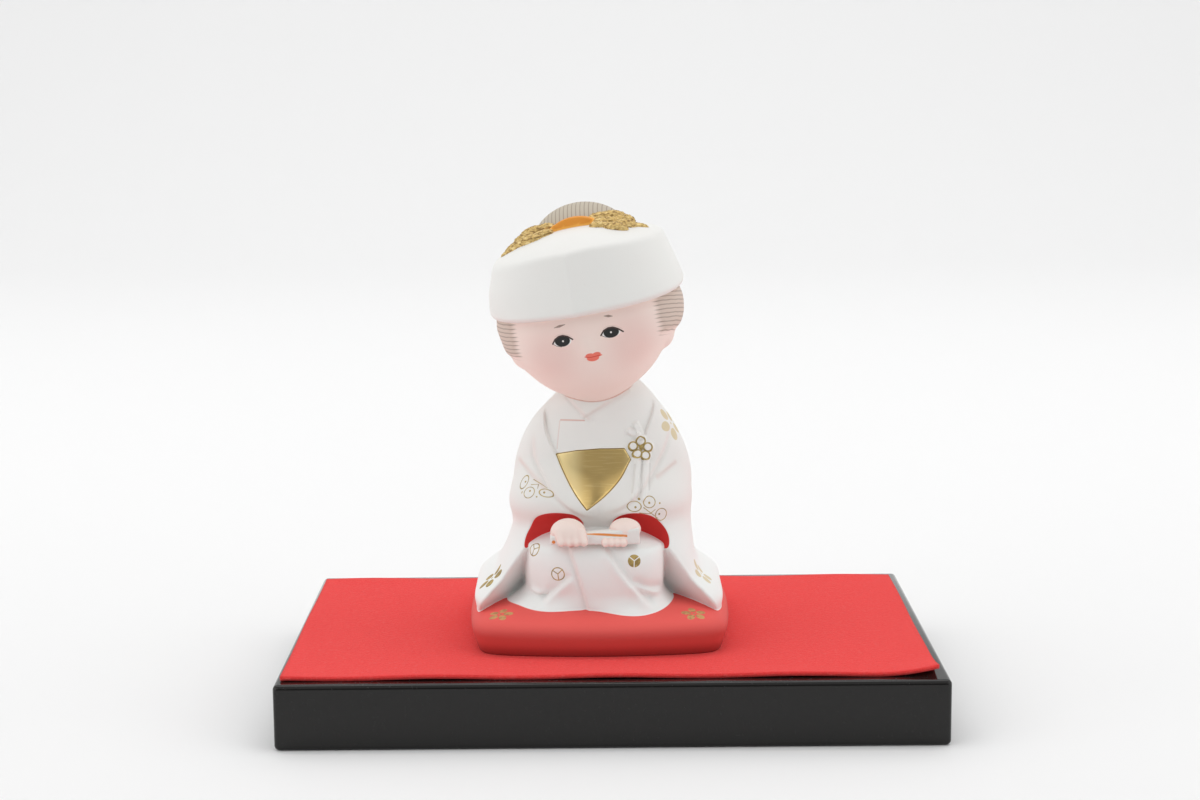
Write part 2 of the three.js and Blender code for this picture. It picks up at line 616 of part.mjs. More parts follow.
// Hair ornaments on the hood's dome: two sprays of leaves that overlap, as
// [x, y, lift off the dome, direction, length, width, height].
const LEAVES = [
  [-20.4, -7.2, 0, -22, 4.2, 1.4, 1.3], [-17.8, -7.2, 0.3, -20, 4.6, 2.1, 1.7],
  [-15, -4.8, 0.7, -26, 4.6, 2.1, 2.1], [-12.2, -3.4, 1.3, -20, 5, 2.2, 2.3],
  [-8.8, -3.4, 1.1, -8, 4.2, 2, 2], [-13.2, -9.2, 0.5, -16, 4.8, 2.1, 1.8],
  [-9, -8.8, 0.4, -4, 4, 1.9, 1.7], [10.2, -3.4, 1.1, 4, 4.4, 2, 2.2], [14, -3.4, 1.3, 2, 4.8, 2.2, 2.5],
  [17.4, -4.4, 0.6, 14, 4, 2.1, 2.3], [12.2, -7.2, 0.5, 8, 4.8, 2, 1.9],
  [10.4, -10.4, 0.3, -4, 3.8, 1.7, 1.5], [15.4, -12.6, 0.4, -12, 4.2, 1.9, 1.8],
  [18, -9.2, 0.3, 18, 4, 2.1, 2.1], [21.8, -7, 0, 22, 4, 1.4, 1.3],
];

function leaves() {
  const { at, radii } = HOOD_DOME;
  return LEAVES.map(([x, y, lift, direction, length, width, height]) => {
    const [u, v] = [(x - at[0]) / radii[0], (y - at[1]) / radii[1]];
    const rise = Math.sqrt(1 - u * u - v * v);
    const normal = new THREE.Vector3(u / radii[0], v / radii[1], rise / radii[2]).normalize();
    const angle = degToRad(direction);
    const tip = new THREE.Vector3(Math.cos(angle), Math.sin(angle), 0).projectOnPlane(normal).normalize();
    const turn = new THREE.Matrix4().makeBasis(tip, normal.clone().cross(tip), normal);
    const place = new THREE.Vector3(x, y, at[2] + radii[2] * rise).addScaledVector(normal, lift);
    return oval({ at: place.toArray(), radii: [length, width, height] }, 6, 4, turn);
  });
}

// Comb: a crescent standing in front of the bun, between the sprays.
const COMB = { x: 1.6, y: -6.4, top: 36.5, thickness: 3.8, halfWidth: 6.7 };
const COMB_CURVES = { outerRadius: 13.6, innerRadius: 21, endHeight: 1.2 };

function comb() {
  const { x, y, top, thickness, halfWidth } = COMB;
  const { outerRadius, innerRadius, endHeight } = COMB_CURVES;
  const outerHalf = Math.asin(halfWidth / outerRadius);
  const innerHalf = Math.asin(halfWidth / innerRadius);
  const corner = top - outerRadius * (1 - Math.cos(outerHalf));
  const outline = new THREE.Shape();
  const up = Math.PI / 2;
  outline.absarc(x, top - outerRadius, outerRadius, up - outerHalf, up + outerHalf, false);
  const innerMiddle = corner - innerRadius * Math.cos(innerHalf) - endHeight;
  outline.absarc(x, innerMiddle, innerRadius, up + innerHalf, up - innerHalf, true);
  const options = { depth: thickness, bevelEnabled: false, curveSegments: 8 };
  const geometry = new THREE.ExtrudeGeometry(outline, options);
  return solid(geometry.rotateX(Math.PI / 2).translate(0, y + thickness / 2, 0));
}

function head() {
  const pieces = [face(), hood(), oval(BUN, 16, 8), comb(), ...leaves()];
  return together(pieces).transform(HEAD_FRAME.toArray());
}

function neck() {
  const geometry = new THREE.CylinderGeometry(NECK.radius, NECK.radius, NECK.height, 16);
  return solid(geometry.rotateX(Math.PI / 2).translate(...NECK.at));
}

// Only what is above the cushion's underside is kept.
const ABOVE_GROUND = [300, 300, 300];

function dollMesh() {
  const figure = together([body(), outerRobe(), lap(), ...hands(), ...chestOrnament(), neck(), head()]);
  const seated = figure
    .translate([0, 0, -UNITS_TO_SEAT])
    .scale([FIGURE_SCALE, FIGURE_SCALE, FIGURE_SCALE])
    .translate([0, 0, CUSHION_HEIGHT]);
  const above = new THREE.BoxGeometry(...ABOVE_GROUND).translate(0, 0, ABOVE_GROUND[2] / 2);
  const whole = cushion().add(seated).intersect(solid(above));
  const clay = new THREE.MeshStandardMaterial({ color: 0xe6e4df, roughness: 0.7, metalness: 0 });
  const mesh = new THREE.Mesh(geometryOf(greatest(whole)), clay);
  mesh.name = "doll";
  mesh.position.set(DOLL_X, DOLL_Y, STAND_HEIGHT + CLOTH_THICKNESS);
  return mesh;
}

function standMesh() {
  const size = [STAND_WIDTH, STAND_DEPTH, STAND_HEIGHT];
  const geometry = geometryOf(solid(new RoundedBoxGeometry(...size, 1, STAND_EDGE_RADIUS)));
  const lacquer = new THREE.MeshStandardMaterial({ color: 0x0b0a0a, roughness: 0.12, metalness: 0 });
  const mesh = new THREE.Mesh(geometry, lacquer);
  mesh.name = "stand";
  mesh.position.z = STAND_HEIGHT / 2;
  return mesh;
}

// The felt lies flat under the doll. Near its edges it lifts in low waves, and one front corner curls up.
function feltRise(x, y, halfWidth, halfDepth) {
  const toEdge = Math.min(halfWidth - Math.abs(x), halfDepth - Math.abs(y));
  const wave = 0.5 + 0.5 * Math.sin(x / 9 + y / 13);
  const lift = CLOTH_EDGE_WAVE * wave * smoothstep(CLOTH_EDGE_REACH - toEdge, 0, CLOTH_EDGE_REACH);
  const toCorner = Math.hypot(halfWidth - x, halfDepth + y);
  return lift + CLOTH_CURL_RISE * Math.max(1 - toCorner / CLOTH_CURL_REACH, 0) ** 2;
}

function clothMesh() {
  const width = STAND_WIDTH - 2 * CLOTH_SIDE_MARGIN;
  const depth = STAND_DEPTH - 2 * CLOTH_END_MARGIN;
  const geometry = new THREE.BoxGeometry(width, depth, CLOTH_THICKNESS, 10, 7, 1);
  const { position } = geometry.attributes;
  for (let i = 0; i < position.count; i += 1) {
    const rise = feltRise(position.getX(i), position.getY(i), width / 2, depth / 2);
    position.setZ(i, position.getZ(i) + rise);
  }
  const felt = new THREE.MeshStandardMaterial({ color: 0xc2221f, roughness: 1, metalness: 0 });
  const mesh = new THREE.Mesh(geometryOf(solid(geometry)), felt);
  mesh.name = "felt_cloth";
  mesh.position.set(CLOTH_SHIFT_X, CLOTH_SHIFT_Y, STAND_HEIGHT + CLOTH_THICKNESS / 2);
  return mesh;
}

const hakataDoll = new THREE.Group();
hakataDoll.add(standMesh(), clothMesh(), dollMesh());
export default hakataDoll;
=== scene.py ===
import json
import math

import bmesh
import bpy
import numpy as np
from mathutils import Matrix, Vector
from mathutils.bvhtree import BVHTree

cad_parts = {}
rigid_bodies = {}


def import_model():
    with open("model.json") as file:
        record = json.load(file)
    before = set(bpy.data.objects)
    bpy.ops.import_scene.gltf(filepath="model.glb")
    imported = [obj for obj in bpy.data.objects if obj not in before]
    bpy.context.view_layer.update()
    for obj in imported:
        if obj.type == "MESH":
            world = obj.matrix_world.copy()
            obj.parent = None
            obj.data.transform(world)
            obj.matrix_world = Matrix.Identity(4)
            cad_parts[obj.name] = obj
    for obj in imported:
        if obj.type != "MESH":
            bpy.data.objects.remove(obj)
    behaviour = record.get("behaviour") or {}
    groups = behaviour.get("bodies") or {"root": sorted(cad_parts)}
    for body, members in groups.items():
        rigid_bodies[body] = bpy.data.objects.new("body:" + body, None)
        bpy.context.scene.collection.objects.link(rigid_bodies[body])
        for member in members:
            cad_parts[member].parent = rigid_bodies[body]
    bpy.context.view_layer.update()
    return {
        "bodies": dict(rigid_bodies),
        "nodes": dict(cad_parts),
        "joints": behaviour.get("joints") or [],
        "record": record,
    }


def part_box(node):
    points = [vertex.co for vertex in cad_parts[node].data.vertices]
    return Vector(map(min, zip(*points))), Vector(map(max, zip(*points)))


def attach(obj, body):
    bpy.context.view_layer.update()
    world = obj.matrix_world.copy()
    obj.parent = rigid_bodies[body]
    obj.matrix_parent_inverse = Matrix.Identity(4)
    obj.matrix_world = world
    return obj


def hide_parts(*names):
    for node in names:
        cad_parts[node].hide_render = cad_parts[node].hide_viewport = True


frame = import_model()
MM = 0.001

# View: the photograph's own view, from in front and a little above, through a long lens.
# Its place was worked out from the corners of the stand.
VIEW_FROM = Vector((-3.3, -758.6, 223.8)) * MM
VIEW_TURN = math.radians(0.019)
VIEW_DOWN = math.radians(9.421)
VIEW_ROLL = math.radians(-0.478)
LENS_LENGTH = 69.34


def add_view():
    camera = bpy.data.cameras.new("view")
    camera.lens = LENS_LENGTH
    camera.sensor_width = 36
    camera.clip_start = 0.05
    camera.clip_end = 20
    ahead = Vector((
        math.sin(VIEW_TURN) * math.cos(VIEW_DOWN),
        math.cos(VIEW_TURN) * math.cos(VIEW_DOWN),
        -math.sin(VIEW_DOWN),
    ))
    level = Vector((math.cos(VIEW_TURN), -math.sin(VIEW_TURN), 0))
    rising = level.cross(ahead)
    right = math.cos(VIEW_ROLL) * level + math.sin(VIEW_ROLL) * rising
    up = math.cos(VIEW_ROLL) * rising - math.sin(VIEW_ROLL) * level
    holder = bpy.data.objects.new("view", camera)
    turn = Matrix((right, up, -ahead)).transposed().to_4x4()
    holder.matrix_world = Matrix.Translation(VIEW_FROM) @ turn
    bpy.context.scene.collection.objects.link(holder)
    bpy.context.scene.camera = holder


add_view()


# Floor: a plain pale sheet that lies under the stand and rises in a wide curve behind it.
# It isn't part of the object.
FLOOR_HALF_WIDTH = 3.0
FLOOR_FRONT = -2.2
FLOOR_BACK = 1.3
FLOOR_CURVE_RADIUS = 1.0
FLOOR_WALL_TOP = 2.6
FLOOR_DROP = 0.00005
FLOOR_COLOUR = (0.86, 0.86, 0.86, 1)


def new_material(name, colour, roughness):
    """A material with one Principled shader, and that shader's node."""
    material = bpy.data.materials.new(name)
    material.use_nodes = True
    shader = material.node_tree.nodes["Principled BSDF"]
    shader.inputs["Base Color"].default_value = colour
    shader.inputs["Roughness"].default_value = roughness
    return material, shader


def new_object(name, mesh):
    piece = bpy.data.objects.new(name, mesh)
    bpy.context.scene.collection.objects.link(piece)
    return piece


def mesh_of(name, points, faces):
    """A smooth mesh of four-sided faces."""
    points, faces = np.asarray(points, np.float32), np.asarray(faces, np.int32)
    mesh = bpy.data.meshes.new(name)
    mesh.vertices.add(len(points))
    mesh.vertices.foreach_set("co", points.ravel())
    mesh.loops.add(faces.size)
    mesh.loops.foreach_set("vertex_index", faces.ravel())
    mesh.polygons.add(len(faces))
    mesh.polygons.foreach_set("loop_start", np.arange(0, faces.size, 4, dtype=np.int32))
    mesh.polygons.foreach_set("use_smooth", np.ones(len(faces), bool))
    mesh.update(calc_edges=True)
    mesh.validate()
    return mesh


def floor():
    bend = [math.pi / 2 * i / 24 for i in range(25)]
    profile = [(FLOOR_FRONT, 0)]
    profile += [
        (FLOOR_BACK + FLOOR_CURVE_RADIUS * math.sin(a), FLOOR_CURVE_RADIUS * (1 - math.cos(a)))
        for a in bend
    ]
    profile.append((FLOOR_BACK + FLOOR_CURVE_RADIUS, FLOOR_WALL_TOP))
    points = [(x, y, z - FLOOR_DROP) for x in (-FLOOR_HALF_WIDTH, FLOOR_HALF_WIDTH) for y, z in profile]
    n = len(profile)
    faces = [(i, n + i, n + i + 1, i + 1) for i in range(n - 1)]
    piece = new_object("floor", mesh_of("floor", points, faces))
    material, _ = new_material("pale_floor", FLOOR_COLOUR, 0.9)
    piece.data.materials.append(material)


floor()


# Light: a white tent, brightest from the sides, the top and the wall behind, with a dim gap in its front.
# The camera looks in through the gap, so the lacquer and the gold mirror something darker there.
TENT_WHITE = (0.72, 0.72, 0.72, 1)
TENT_GAP = (0.12, 0.12, 0.12, 1)
TENT_GAP_EDGE = (0.72, 0.97)
SOFT_LIGHTS = [
    {"name": "left_light", "at": (-1.35, -0.55, 0.6), "aim": (0, 0, 0.1), "size": (1.6, 1.5), "power": 5.7},
    {"name": "right_light", "at": (1.35, -0.5, 0.6), "aim": (0, 0, 0.1), "size": (1.6, 1.5), "power": 5.2},
    {"name": "top_light", "at": (0, 0.55, 1.6), "aim": (0, 0.05, 0.1), "size": (2.2, 1.4), "power": 4.9},
    {"name": "wall_light", "at": (0, 0.2, 2.1), "aim": (0, 2.3, 0.7), "size": (3.5, 0.8), "power": 20},
]


class Nodes:
    """Adds nodes to one material, world or group. A value is a number, a tuple or another node's output."""

    def __init__(self, tree):
        self.tree = tree

    def put(self, socket, value):
        if isinstance(value, bpy.types.NodeSocket):
            self.tree.links.new(value, socket)
        else:
            socket.default_value = value

    def fill(self, node, inputs):
        for key, value in inputs.items():
            self.put(node.inputs[key], value)

    def add(self, kind, inputs=None, **settings):
        node = self.tree.nodes.new("ShaderNode" + kind)
        for name, value in settings.items():
            setattr(node, name, value)
        self.fill(node, inputs or {})
        return node

    def math(self, operation, *values):
        return self.add("Math", dict(enumerate(values)), operation=operation).outputs[0]

    def times(self, a, b):
        return self.math("MULTIPLY", a, b)

    def most(self, first, *others):
        for value in others:
            first = self.math("MAXIMUM", first, value)
        return first

    def vector(self, operation, *values):
        node = self.add("VectorMath", dict(enumerate(values)), operation=operation)
        return node.outputs["Value" if operation in ("DOT_PRODUCT", "LENGTH") else "Vector"]

    def rising(self, value, low, high):
        """From 0 at `low` to 1 at `high`, with soft ends."""
        inputs = {"Value": value, "From Min": low, "From Max": high}
        return self.add("MapRange", inputs, interpolation_type="SMOOTHSTEP").outputs["Result"]

    def over(self, below, mask, above):
        """The colour `above` laid over the colour `below` where the mask is 1."""
        return self.add("Mix", {0: mask, 6: below, 7: above}, data_type="RGBA").outputs[2]

    def noise(self, place, scale, detail):
        inputs = {"Vector": place, "Scale": scale, "Detail": detail}
        return self.add("TexNoise", inputs).outputs["Fac"]

    def stretched(self, place, stretch, detail):
        """Noise with lumps of 1 mm, divided along each axis by the stretch."""
        return self.noise(self.vector("MULTIPLY", place, stretch), 1.0, detail)

    def place(self):
        """The place on a piece at rest, in millimetres."""
        at = self.add("TexCoord").outputs["Object"]
        return self.vector("MULTIPLY", at, (1 / MM, 1 / MM, 1 / MM))

    def mark(self, name):
        """A value that the mesh keeps at its points."""
        return self.add("Attribute", attribute_name=name).outputs["Fac"]

    def bump(self, height, strength, distance):
        inputs = {"Height": height, "Strength": strength, "Distance": distance * MM}
        return self.add("Bump", inputs).outputs["Normal"]


def tent():
    """The world: white all round but for the gap in front."""
    world = bpy.context.scene.world or bpy.data.worlds.new("tent")
    bpy.context.scene.world = world
    world.use_nodes = True
    nodes = Nodes(world.node_tree)
    towards = nodes.add("TexCoord").outputs["Generated"]
    ahead = nodes.vector("DOT_PRODUCT", towards, (0, -1, 0))
    colour = nodes.over(TENT_WHITE, nodes.rising(ahead, *TENT_GAP_EDGE), TENT_GAP)
    nodes.put(nodes.tree.nodes["Background"].inputs["Color"], colour)


def lights():
    tent()
    for row in SOFT_LIGHTS:
        light = bpy.data.lights.new(row["name"], "AREA")
        light.shape = "RECTANGLE"
        light.size, light.size_y = row["size"]
        light.energy = row["power"]
        holder = bpy.data.objects.new(row["name"], light)
        place = Vector(row["at"])
        holder.location = place
        holder.rotation_euler = (Vector(row["aim"]) - place).to_track_quat("-Z", "Y").to_euler()
        bpy.context.scene.collection.objects.link(holder)
    bpy.context.scene.view_settings.view_transform = "Standard"


lights()


# Stand: a low board of wood under polished black lacquer, with softened edges.
# The felt and the doll lie on it loose.
STAND_EDGE_RADIUS = 1.6
STAND_EDGE_STEPS = 6
LACQUER_COLOUR = (0.008, 0.0075, 0.007, 1)
LACQUER_DUST = (0.02, 0.02, 0.019, 1)
LACQUER_ROUGHNESS = 0.08


def lacquer():
    """Polished lacquer: faint waves and uneven gloss from rubbing it down, and a little dust."""
    material, shader = new_material("black_lacquer", LACQUER_COLOUR, LACQUER_ROUGHNESS)
    nodes = Nodes(material.node_tree)
    place = nodes.place()
    waves = nodes.noise(place, 0.05, 1.0)
    dust = nodes.rising(nodes.noise(place, 1.6, 0.0), 0.74, 0.8)
    rubbed = nodes.stretched(place, (0.02, 0.6, 0.6), 3.0)
    rough = nodes.math("MULTIPLY_ADD", rubbed, 0.05, LACQUER_ROUGHNESS)
    nodes.fill(shader, {
        "Base Color": nodes.over(LACQUER_COLOUR, dust, LACQUER_DUST),
        "Roughness": nodes.math("MULTIPLY_ADD", dust, 0.25, rough),
        "Normal": nodes.bump(waves, 0.35, 0.25),
        "Specular IOR Level": 0.3,
        "Coat Weight": 0.12,
        "Coat Roughness": 0.03,
    })
    return material


def stand():
    low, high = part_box("stand")
    mesh = bpy.data.meshes.new("lacquered_stand")
    shape = bmesh.new()
    bmesh.ops.create_cube(shape, size=1)
    size = high - low
    bmesh.ops.scale(shape, vec=size, verts=shape.verts)
    bmesh.ops.translate(shape, vec=(low + high) / 2, verts=shape.verts)
    bmesh.ops.bevel(
        shape,
        geom=shape.edges[:],
        offset=STAND_EDGE_RADIUS * MM,
        segments=STAND_EDGE_STEPS,
        profile=0.5,
        affect="EDGES",
    )
    shape.to_mesh(mesh)
    shape.free()
    mesh.polygons.foreach_set("use_smooth", [True] * len(mesh.polygons))
    piece = new_object("lacquered_stand", mesh)
    mesh.materials.append(lacquer())
    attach(piece, "root")
    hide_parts("stand")


stand()


# Felt: a rectangle of bright red wool felt, cut by hand and laid loose on the stand.
# Its edges lie in low waves and its front right corner curls up.
FELT_SIZE = (204.6, 127.0)
FELT_MIDDLE = (-0.8, -1.8)
FELT_THICKNESS = 1.25
FELT_UNDERSIDE = 21.0
FELT_EDGE_WAVE = 0.5
FELT_EDGE_REACH = 10
FELT_WAVES = (9, 13)
FELT_CURL_RISE = 2.2
FELT_CURL_REACH = 20
FELT_GRID = (164, 102)
FELT_COLOUR = (0.93, 0.06, 0.06, 1)
FELT_DEEP_COLOUR = (0.79, 0.037, 0.037, 1)
FELT_FUZZ_COLOUR = (0.88, 0.10, 0.095, 1)
FELT_FIBRES = [(1.1, 7.0, 4.0), (7.0, 1.1, 4.0), (4.0, 4.0, 5.0)]


def felt_rise(x, y):
    half_width, half_depth = FELT_SIZE[0] / 2, FELT_SIZE[1] / 2
    to_edge = np.minimum(half_width - np.abs(x), half_depth - np.abs(y))
    share = np.clip(1 - to_edge / FELT_EDGE_REACH, 0, 1)
    wave = 0.5 + 0.5 * np.sin(x / FELT_WAVES[0] + y / FELT_WAVES[1])
    lift = FELT_EDGE_WAVE * wave * share * share * (3 - 2 * share)
    to_corner = np.hypot(half_width - x, half_depth + y)
    return lift + FELT_CURL_RISE * np.clip(1 - to_corner / FELT_CURL_REACH, 0, 1) ** 2


def felted_wool():
    """Pressed wool: short fibres lying every way, with small lumps and pits between them."""
    material, shader = new_material("red_felt", FELT_COLOUR, 1.0)
    nodes = Nodes(material.node_tree)
    place = nodes.place()
    lumps = nodes.noise(place, 0.8, 3.0)
    wander = nodes.add("TexNoise", {"Vector": place, "Scale": 0.5}).outputs["Color"]
    bent = nodes.vector("ADD", place, wander)
    tangle = nodes.most(*(nodes.stretched(bent, stretch, 2.0) for stretch in FELT_FIBRES))
    colour = nodes.over(FELT_DEEP_COLOUR, nodes.rising(tangle, 0.42, 0.66), FELT_COLOUR)
    colour = nodes.over(colour, nodes.rising(lumps, 0.5, 0.85), FELT_FUZZ_COLOUR)
    height = nodes.math("MULTIPLY_ADD", lumps, 1.2, tangle)
    nodes.fill(shader, {
        "Base Color": colour,
        "Normal": nodes.bump(height, 0.8, 0.35),
        "Specular IOR Level": 0.1,
        "Sheen Weight": 0.35,
        "Sheen Roughness": 0.6,
        "Sheen Tint": (1.0, 0.35, 0.33, 1),
    })
    return material


def felt():
    columns, rows = FELT_GRID
    across = np.linspace(-0.5, 0.5, columns + 1) * FELT_SIZE[0]
    along = np.linspace(-0.5, 0.5, rows + 1) * FELT_SIZE[1]
    x, y = (a.ravel() for a in np.meshgrid(across, along))
    rise = felt_rise(x, y)
    sheets = [
        np.stack([x + FELT_MIDDLE[0], y + FELT_MIDDLE[1], FELT_UNDERSIDE + rise + layer], -1)
        for layer in (0, FELT_THICKNESS)
    ]
    points = np.concatenate(sheets) * MM
    top = len(x)
    wide = columns + 1
    faces = []
    for j in range(rows):
        for i in range(columns):
            a = j * wide + i
            faces.append((a, a + wide, a + wide + 1, a + 1))
            faces.append((top + a, top + a + 1, top + a + wide + 1, top + a + wide))
    rim = [i for i in range(columns)]
    rim += [j * wide + columns for j in range(rows)]
    rim += [rows * wide + i for i in range(columns, 0, -1)]
    rim += [j * wide for j in range(rows, 0, -1)]
    for a, b in zip(rim, rim[1:] + rim[:1]):
        faces.append((a, b, top + b, top + a))
    mesh = mesh_of("red_felt_cloth", points, faces)
    piece = new_object("red_felt_cloth", mesh)
    mesh.materials.append(felted_wool())
    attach(piece, "root")
    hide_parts("felt_cloth")


felt()


# Cushion: the square pillow under the figure, cast in one with it in fired clay. Its plan bows out between
# drawn corners, and its sides lean out from the foot to a soft belt. Forms here are signed fields in
# millimetres, below zero inside, with their origin under the middle of the cushion.
CUSHION_WIDTH = 86.4
CUSHION_DEPTH = 88.4
CUSHION_HEIGHT = 14.3
CUSHION_CROWN = 4.9
CUSHION_SOFTNESS = 3.2
CUSHION_SIDE_BOW = 3.2
CUSHION_FRONT_BOW = 5.2
CUSHION_SQUARENESS = 14
CUSHION_BELT = 9
CUSHION_LEAN = 0.06


def joined(a, b, softness):
    h = np.clip(0.5 + 0.5 * (b - a) / softness, 0, 1)
    return b + (a - b) * h - softness * h * (1 - h)


def common(a, b, softness):
    return -joined(-a, -b, softness)


def eased(low, high, value):
    t = np.clip((value - low) / (high - low), 0, 1)
    return t * t * (3 - 2 * t)


def cushion(p):
    x, y, z = p.T
    half_width, half_depth = CUSHION_WIDTH / 2, CUSHION_DEPTH / 2
    wide = half_width - CUSHION_SIDE_BOW * (y / half_depth) ** 2
    deep = half_depth - CUSHION_FRONT_BOW * (x / half_width) ** 2
    n = CUSHION_SQUARENESS
    ring = (np.abs(x / wide) ** n + np.abs(y / deep) ** n) ** (1 / n)
    lean = 1 - CUSHION_LEAN * (np.clip(CUSHION_BELT - z, 0, 20) / CUSHION_BELT) ** 1.4
    side = (ring / lean - 1) * half_width * 0.85
    top = (z - CUSHION_HEIGHT + CUSHION_CROWN * np.minimum(ring, 1.2) ** 4) * 0.85
    return np.maximum(common(side, top, CUSHION_SOFTNESS), -z)


# Robes: the torso, its folded arms in wide sleeves, the outer robe that spreads over the cushion to two
# tips, and the lap under the inner robe with two lobes of hem. Each section is
# [height, middle x, half width, front y, back y, squareness].
TORSO = [
    [8, 0, 23, -8, 26, 2.3], [30, 0.5, 26, -16, 23, 2.3], [38, 0.8, 27.8, -19.5, 22.5, 2.3],
    [43, 1.3, 29.2, -20.8, 22.2, 2.3], [48, 1.3, 29.6, -20, 21.8, 2.3], [54, 1.3, 29.3, -18.9, 21, 2.3],
    [60, 1.2, 27.9, -17.8, 19.4, 2.3], [66, 1.1, 25.4, -16.6, 17.2, 2.3], [71, 1.2, 22.4, -15.5, 15, 2.3],
    [75, 1.5, 19.2, -14.5, 13, 2.3], [79, 1.9, 15.7, -13.4, 11, 2.3], [83, 1.8, 11.8, -11, 9, 2.3],
    [86, 1.9, 7.2, -8, 6, 2.3],
]
OUTER_ROBE = [
    [8, -0.2, 39.6, -33, 35, 6], [12.5, -0.2, 40.6, -33.5, 35.6, 6], [15, -0.3, 40.7, -33, 35.4, 5.5],
    [18, -0.35, 38, -32.5, 34.2, 5], [21.5, -0.4, 33.9, -31.5, 32, 4.6], [26, -0.1, 31.8, -30.5, 30, 4],
    [30.5, 0.5, 30.7, -29, 28.8, 3.4], [35, 0.9, 29.8, -27, 27.8, 3], [41, 1.1, 29.1, -24, 26.8, 2.6],
    [46, 1.1, 28, -19, 25.4, 2.4], [50, 1.1, 24, -12, 23.5, 2.3],
]
OPENING_FACES = [
    {"corner": (-24.6, -26, 33.2), "tip": (-39.6, -27.5, 12.3), "root": (-29.2, -12, 12.5)},
    {"corner": (22.4, -26, 32.2), "tip": (38.9, -29.5, 12.3), "root": (24.9, -13.5, 12.5)},
]
ARMS = [((-14.5, -11, 44.5), (13.6, 12.8, 9)), ((13.5, -11, 44.5), (13.4, 12.8, 9))]
SLEEVE_MOUTHS = [((-14.1, -27, 35.6), (13.6, 9.6, 7.9)), ((11.7, -27, 35.2), (12, 9.5, 8))]
BACK_BOW = ((1, 13, 50), (16, 11, 14))
LAP = [
    [9, -1.8, 22.6, -32.5, 10, 3], [17, -1.8, 22.6, -32.6, 10, 3.2], [21, -1.8, 22.8, -33, 10, 3.4],
    [26, -1.8, 23, -33, 10, 3.4], [30, -1.8, 23.1, -32.4, 9, 3.2], [32.4, -1.8, 22.8, -31.2, 8, 3],
    [33.6, -1.8, 20.6, -29.8, 7, 2.8], [35, -1.8, 17.3, -27.4, 5, 2.6], [36.4, -1.8, 13.6, -23.6, 2, 2.3],
    [37.6, -1.8, 9.5, -19, 0, 2.2],
]
LAP_TURN = 0.13
HEMS = [((-15.8, -16, 10.6), (16, 18.2, 6)), ((10.7, -18, 10.6), (15.6, 19, 6))]


def egg(p, at, radii):
    q = (p - np.array(at)) / np.array(radii)
    reach = np.sqrt((q * q).sum(-1))
    slope = np.sqrt(((q / np.array(radii)) ** 2).sum(-1))
    return reach * (reach - 1) / np.maximum(slope, 1e-6)


def rod(p, start, end, radius, end_radius=None):
    start, end = np.array(start, float), np.array(end, float)
    along = end - start
    t = np.clip((p - start) @ along / (along @ along), 0, 1)
    taper = (radius if end_radius is None else end_radius) - radius
    return np.linalg.norm(p - start - t[:, None] * along, axis=-1) - radius - taper * t


def smooth_rows(rows, at):
    """The rows of a table, smooth between them, at the values given of their first column."""
    rows = np.array(rows, float)
    key = rows[:, 0]
    slope = np.empty_like(rows)
    slope[1:-1] = (rows[2:] - rows[:-2]) / (key[2:] - key[:-2])[:, None]
    slope[0] = (rows[1] - rows[0]) / (key[1] - key[0])
    slope[-1] = (rows[-1] - rows[-2]) / (key[-1] - key[-2])
    i = np.clip(np.searchsorted(key, at) - 1, 0, len(key) - 2)
    span = (key[i + 1] - key[i])[:, None]
    t = np.clip((at[:, None] - key[i][:, None]) / span, 0, 1)
    t2, t3 = t * t, t * t * t
    return (
        (2 * t3 - 3 * t2 + 1) * rows[i]
        + (t3 - 2 * t2 + t) * span * slope[i]
        + (3 * t2 - 2 * t3) * rows[i + 1]
        + (t3 - t2) * span * slope[i + 1]
    )


def lofted(p, sections):
    at = smooth_rows(sections, p[:, 2])
    middle, half_width, front, back, n = at[:, 1], at[:, 2], at[:, 3], at[:, 4], at[:, 5]
    half_depth = (back - front) / 2
    across = np.abs(p[:, 0] - middle) / half_width
    along = np.abs(p[:, 1] - (front + back) / 2) / half_depth
    ring = (across ** n + along ** n) ** (1 / n)
    side = (ring - 1) * np.minimum(half_width, half_depth) * 0.8
    return np.maximum(side, np.maximum(sections[0][0] - p[:, 2], p[:, 2] - sections[-1][0]))


def before_opening(p, face):
    corner, tip, root = (np.array(face[k], float) for k in ("corner", "tip", "root"))
    normal = np.cross(root - tip, corner - tip)
    normal /= np.linalg.norm(normal) * (1 if normal[1] < 0 else -1)
    return (p - tip) @ normal


def outer_robe(p):
    front = joined(before_opening(p, OPENING_FACES[0]), before_opening(p, OPENING_FACES[1]), 2)
    return common(lofted(p, OUTER_ROBE), front, 1)


def sleeve_mouths(p):
    return np.minimum(egg(p, *SLEEVE_MOUTHS[0]), egg(p, *SLEEVE_MOUTHS[1]))


def uncut_body(p):
    form = lofted(p, TORSO)
    for arm in ARMS:
        form = joined(form, egg(p, *arm), 7)
    return joined(form, outer_robe(p), 2)


def lap(p):
    turned = p.copy()
    turned[:, 1] += LAP_TURN * (p[:, 0] + 2)
    hem = joined(egg(p, *HEMS[0]), egg(p, *HEMS[1]), 0.6)
    return joined(lofted(turned, LAP), hem, 4)


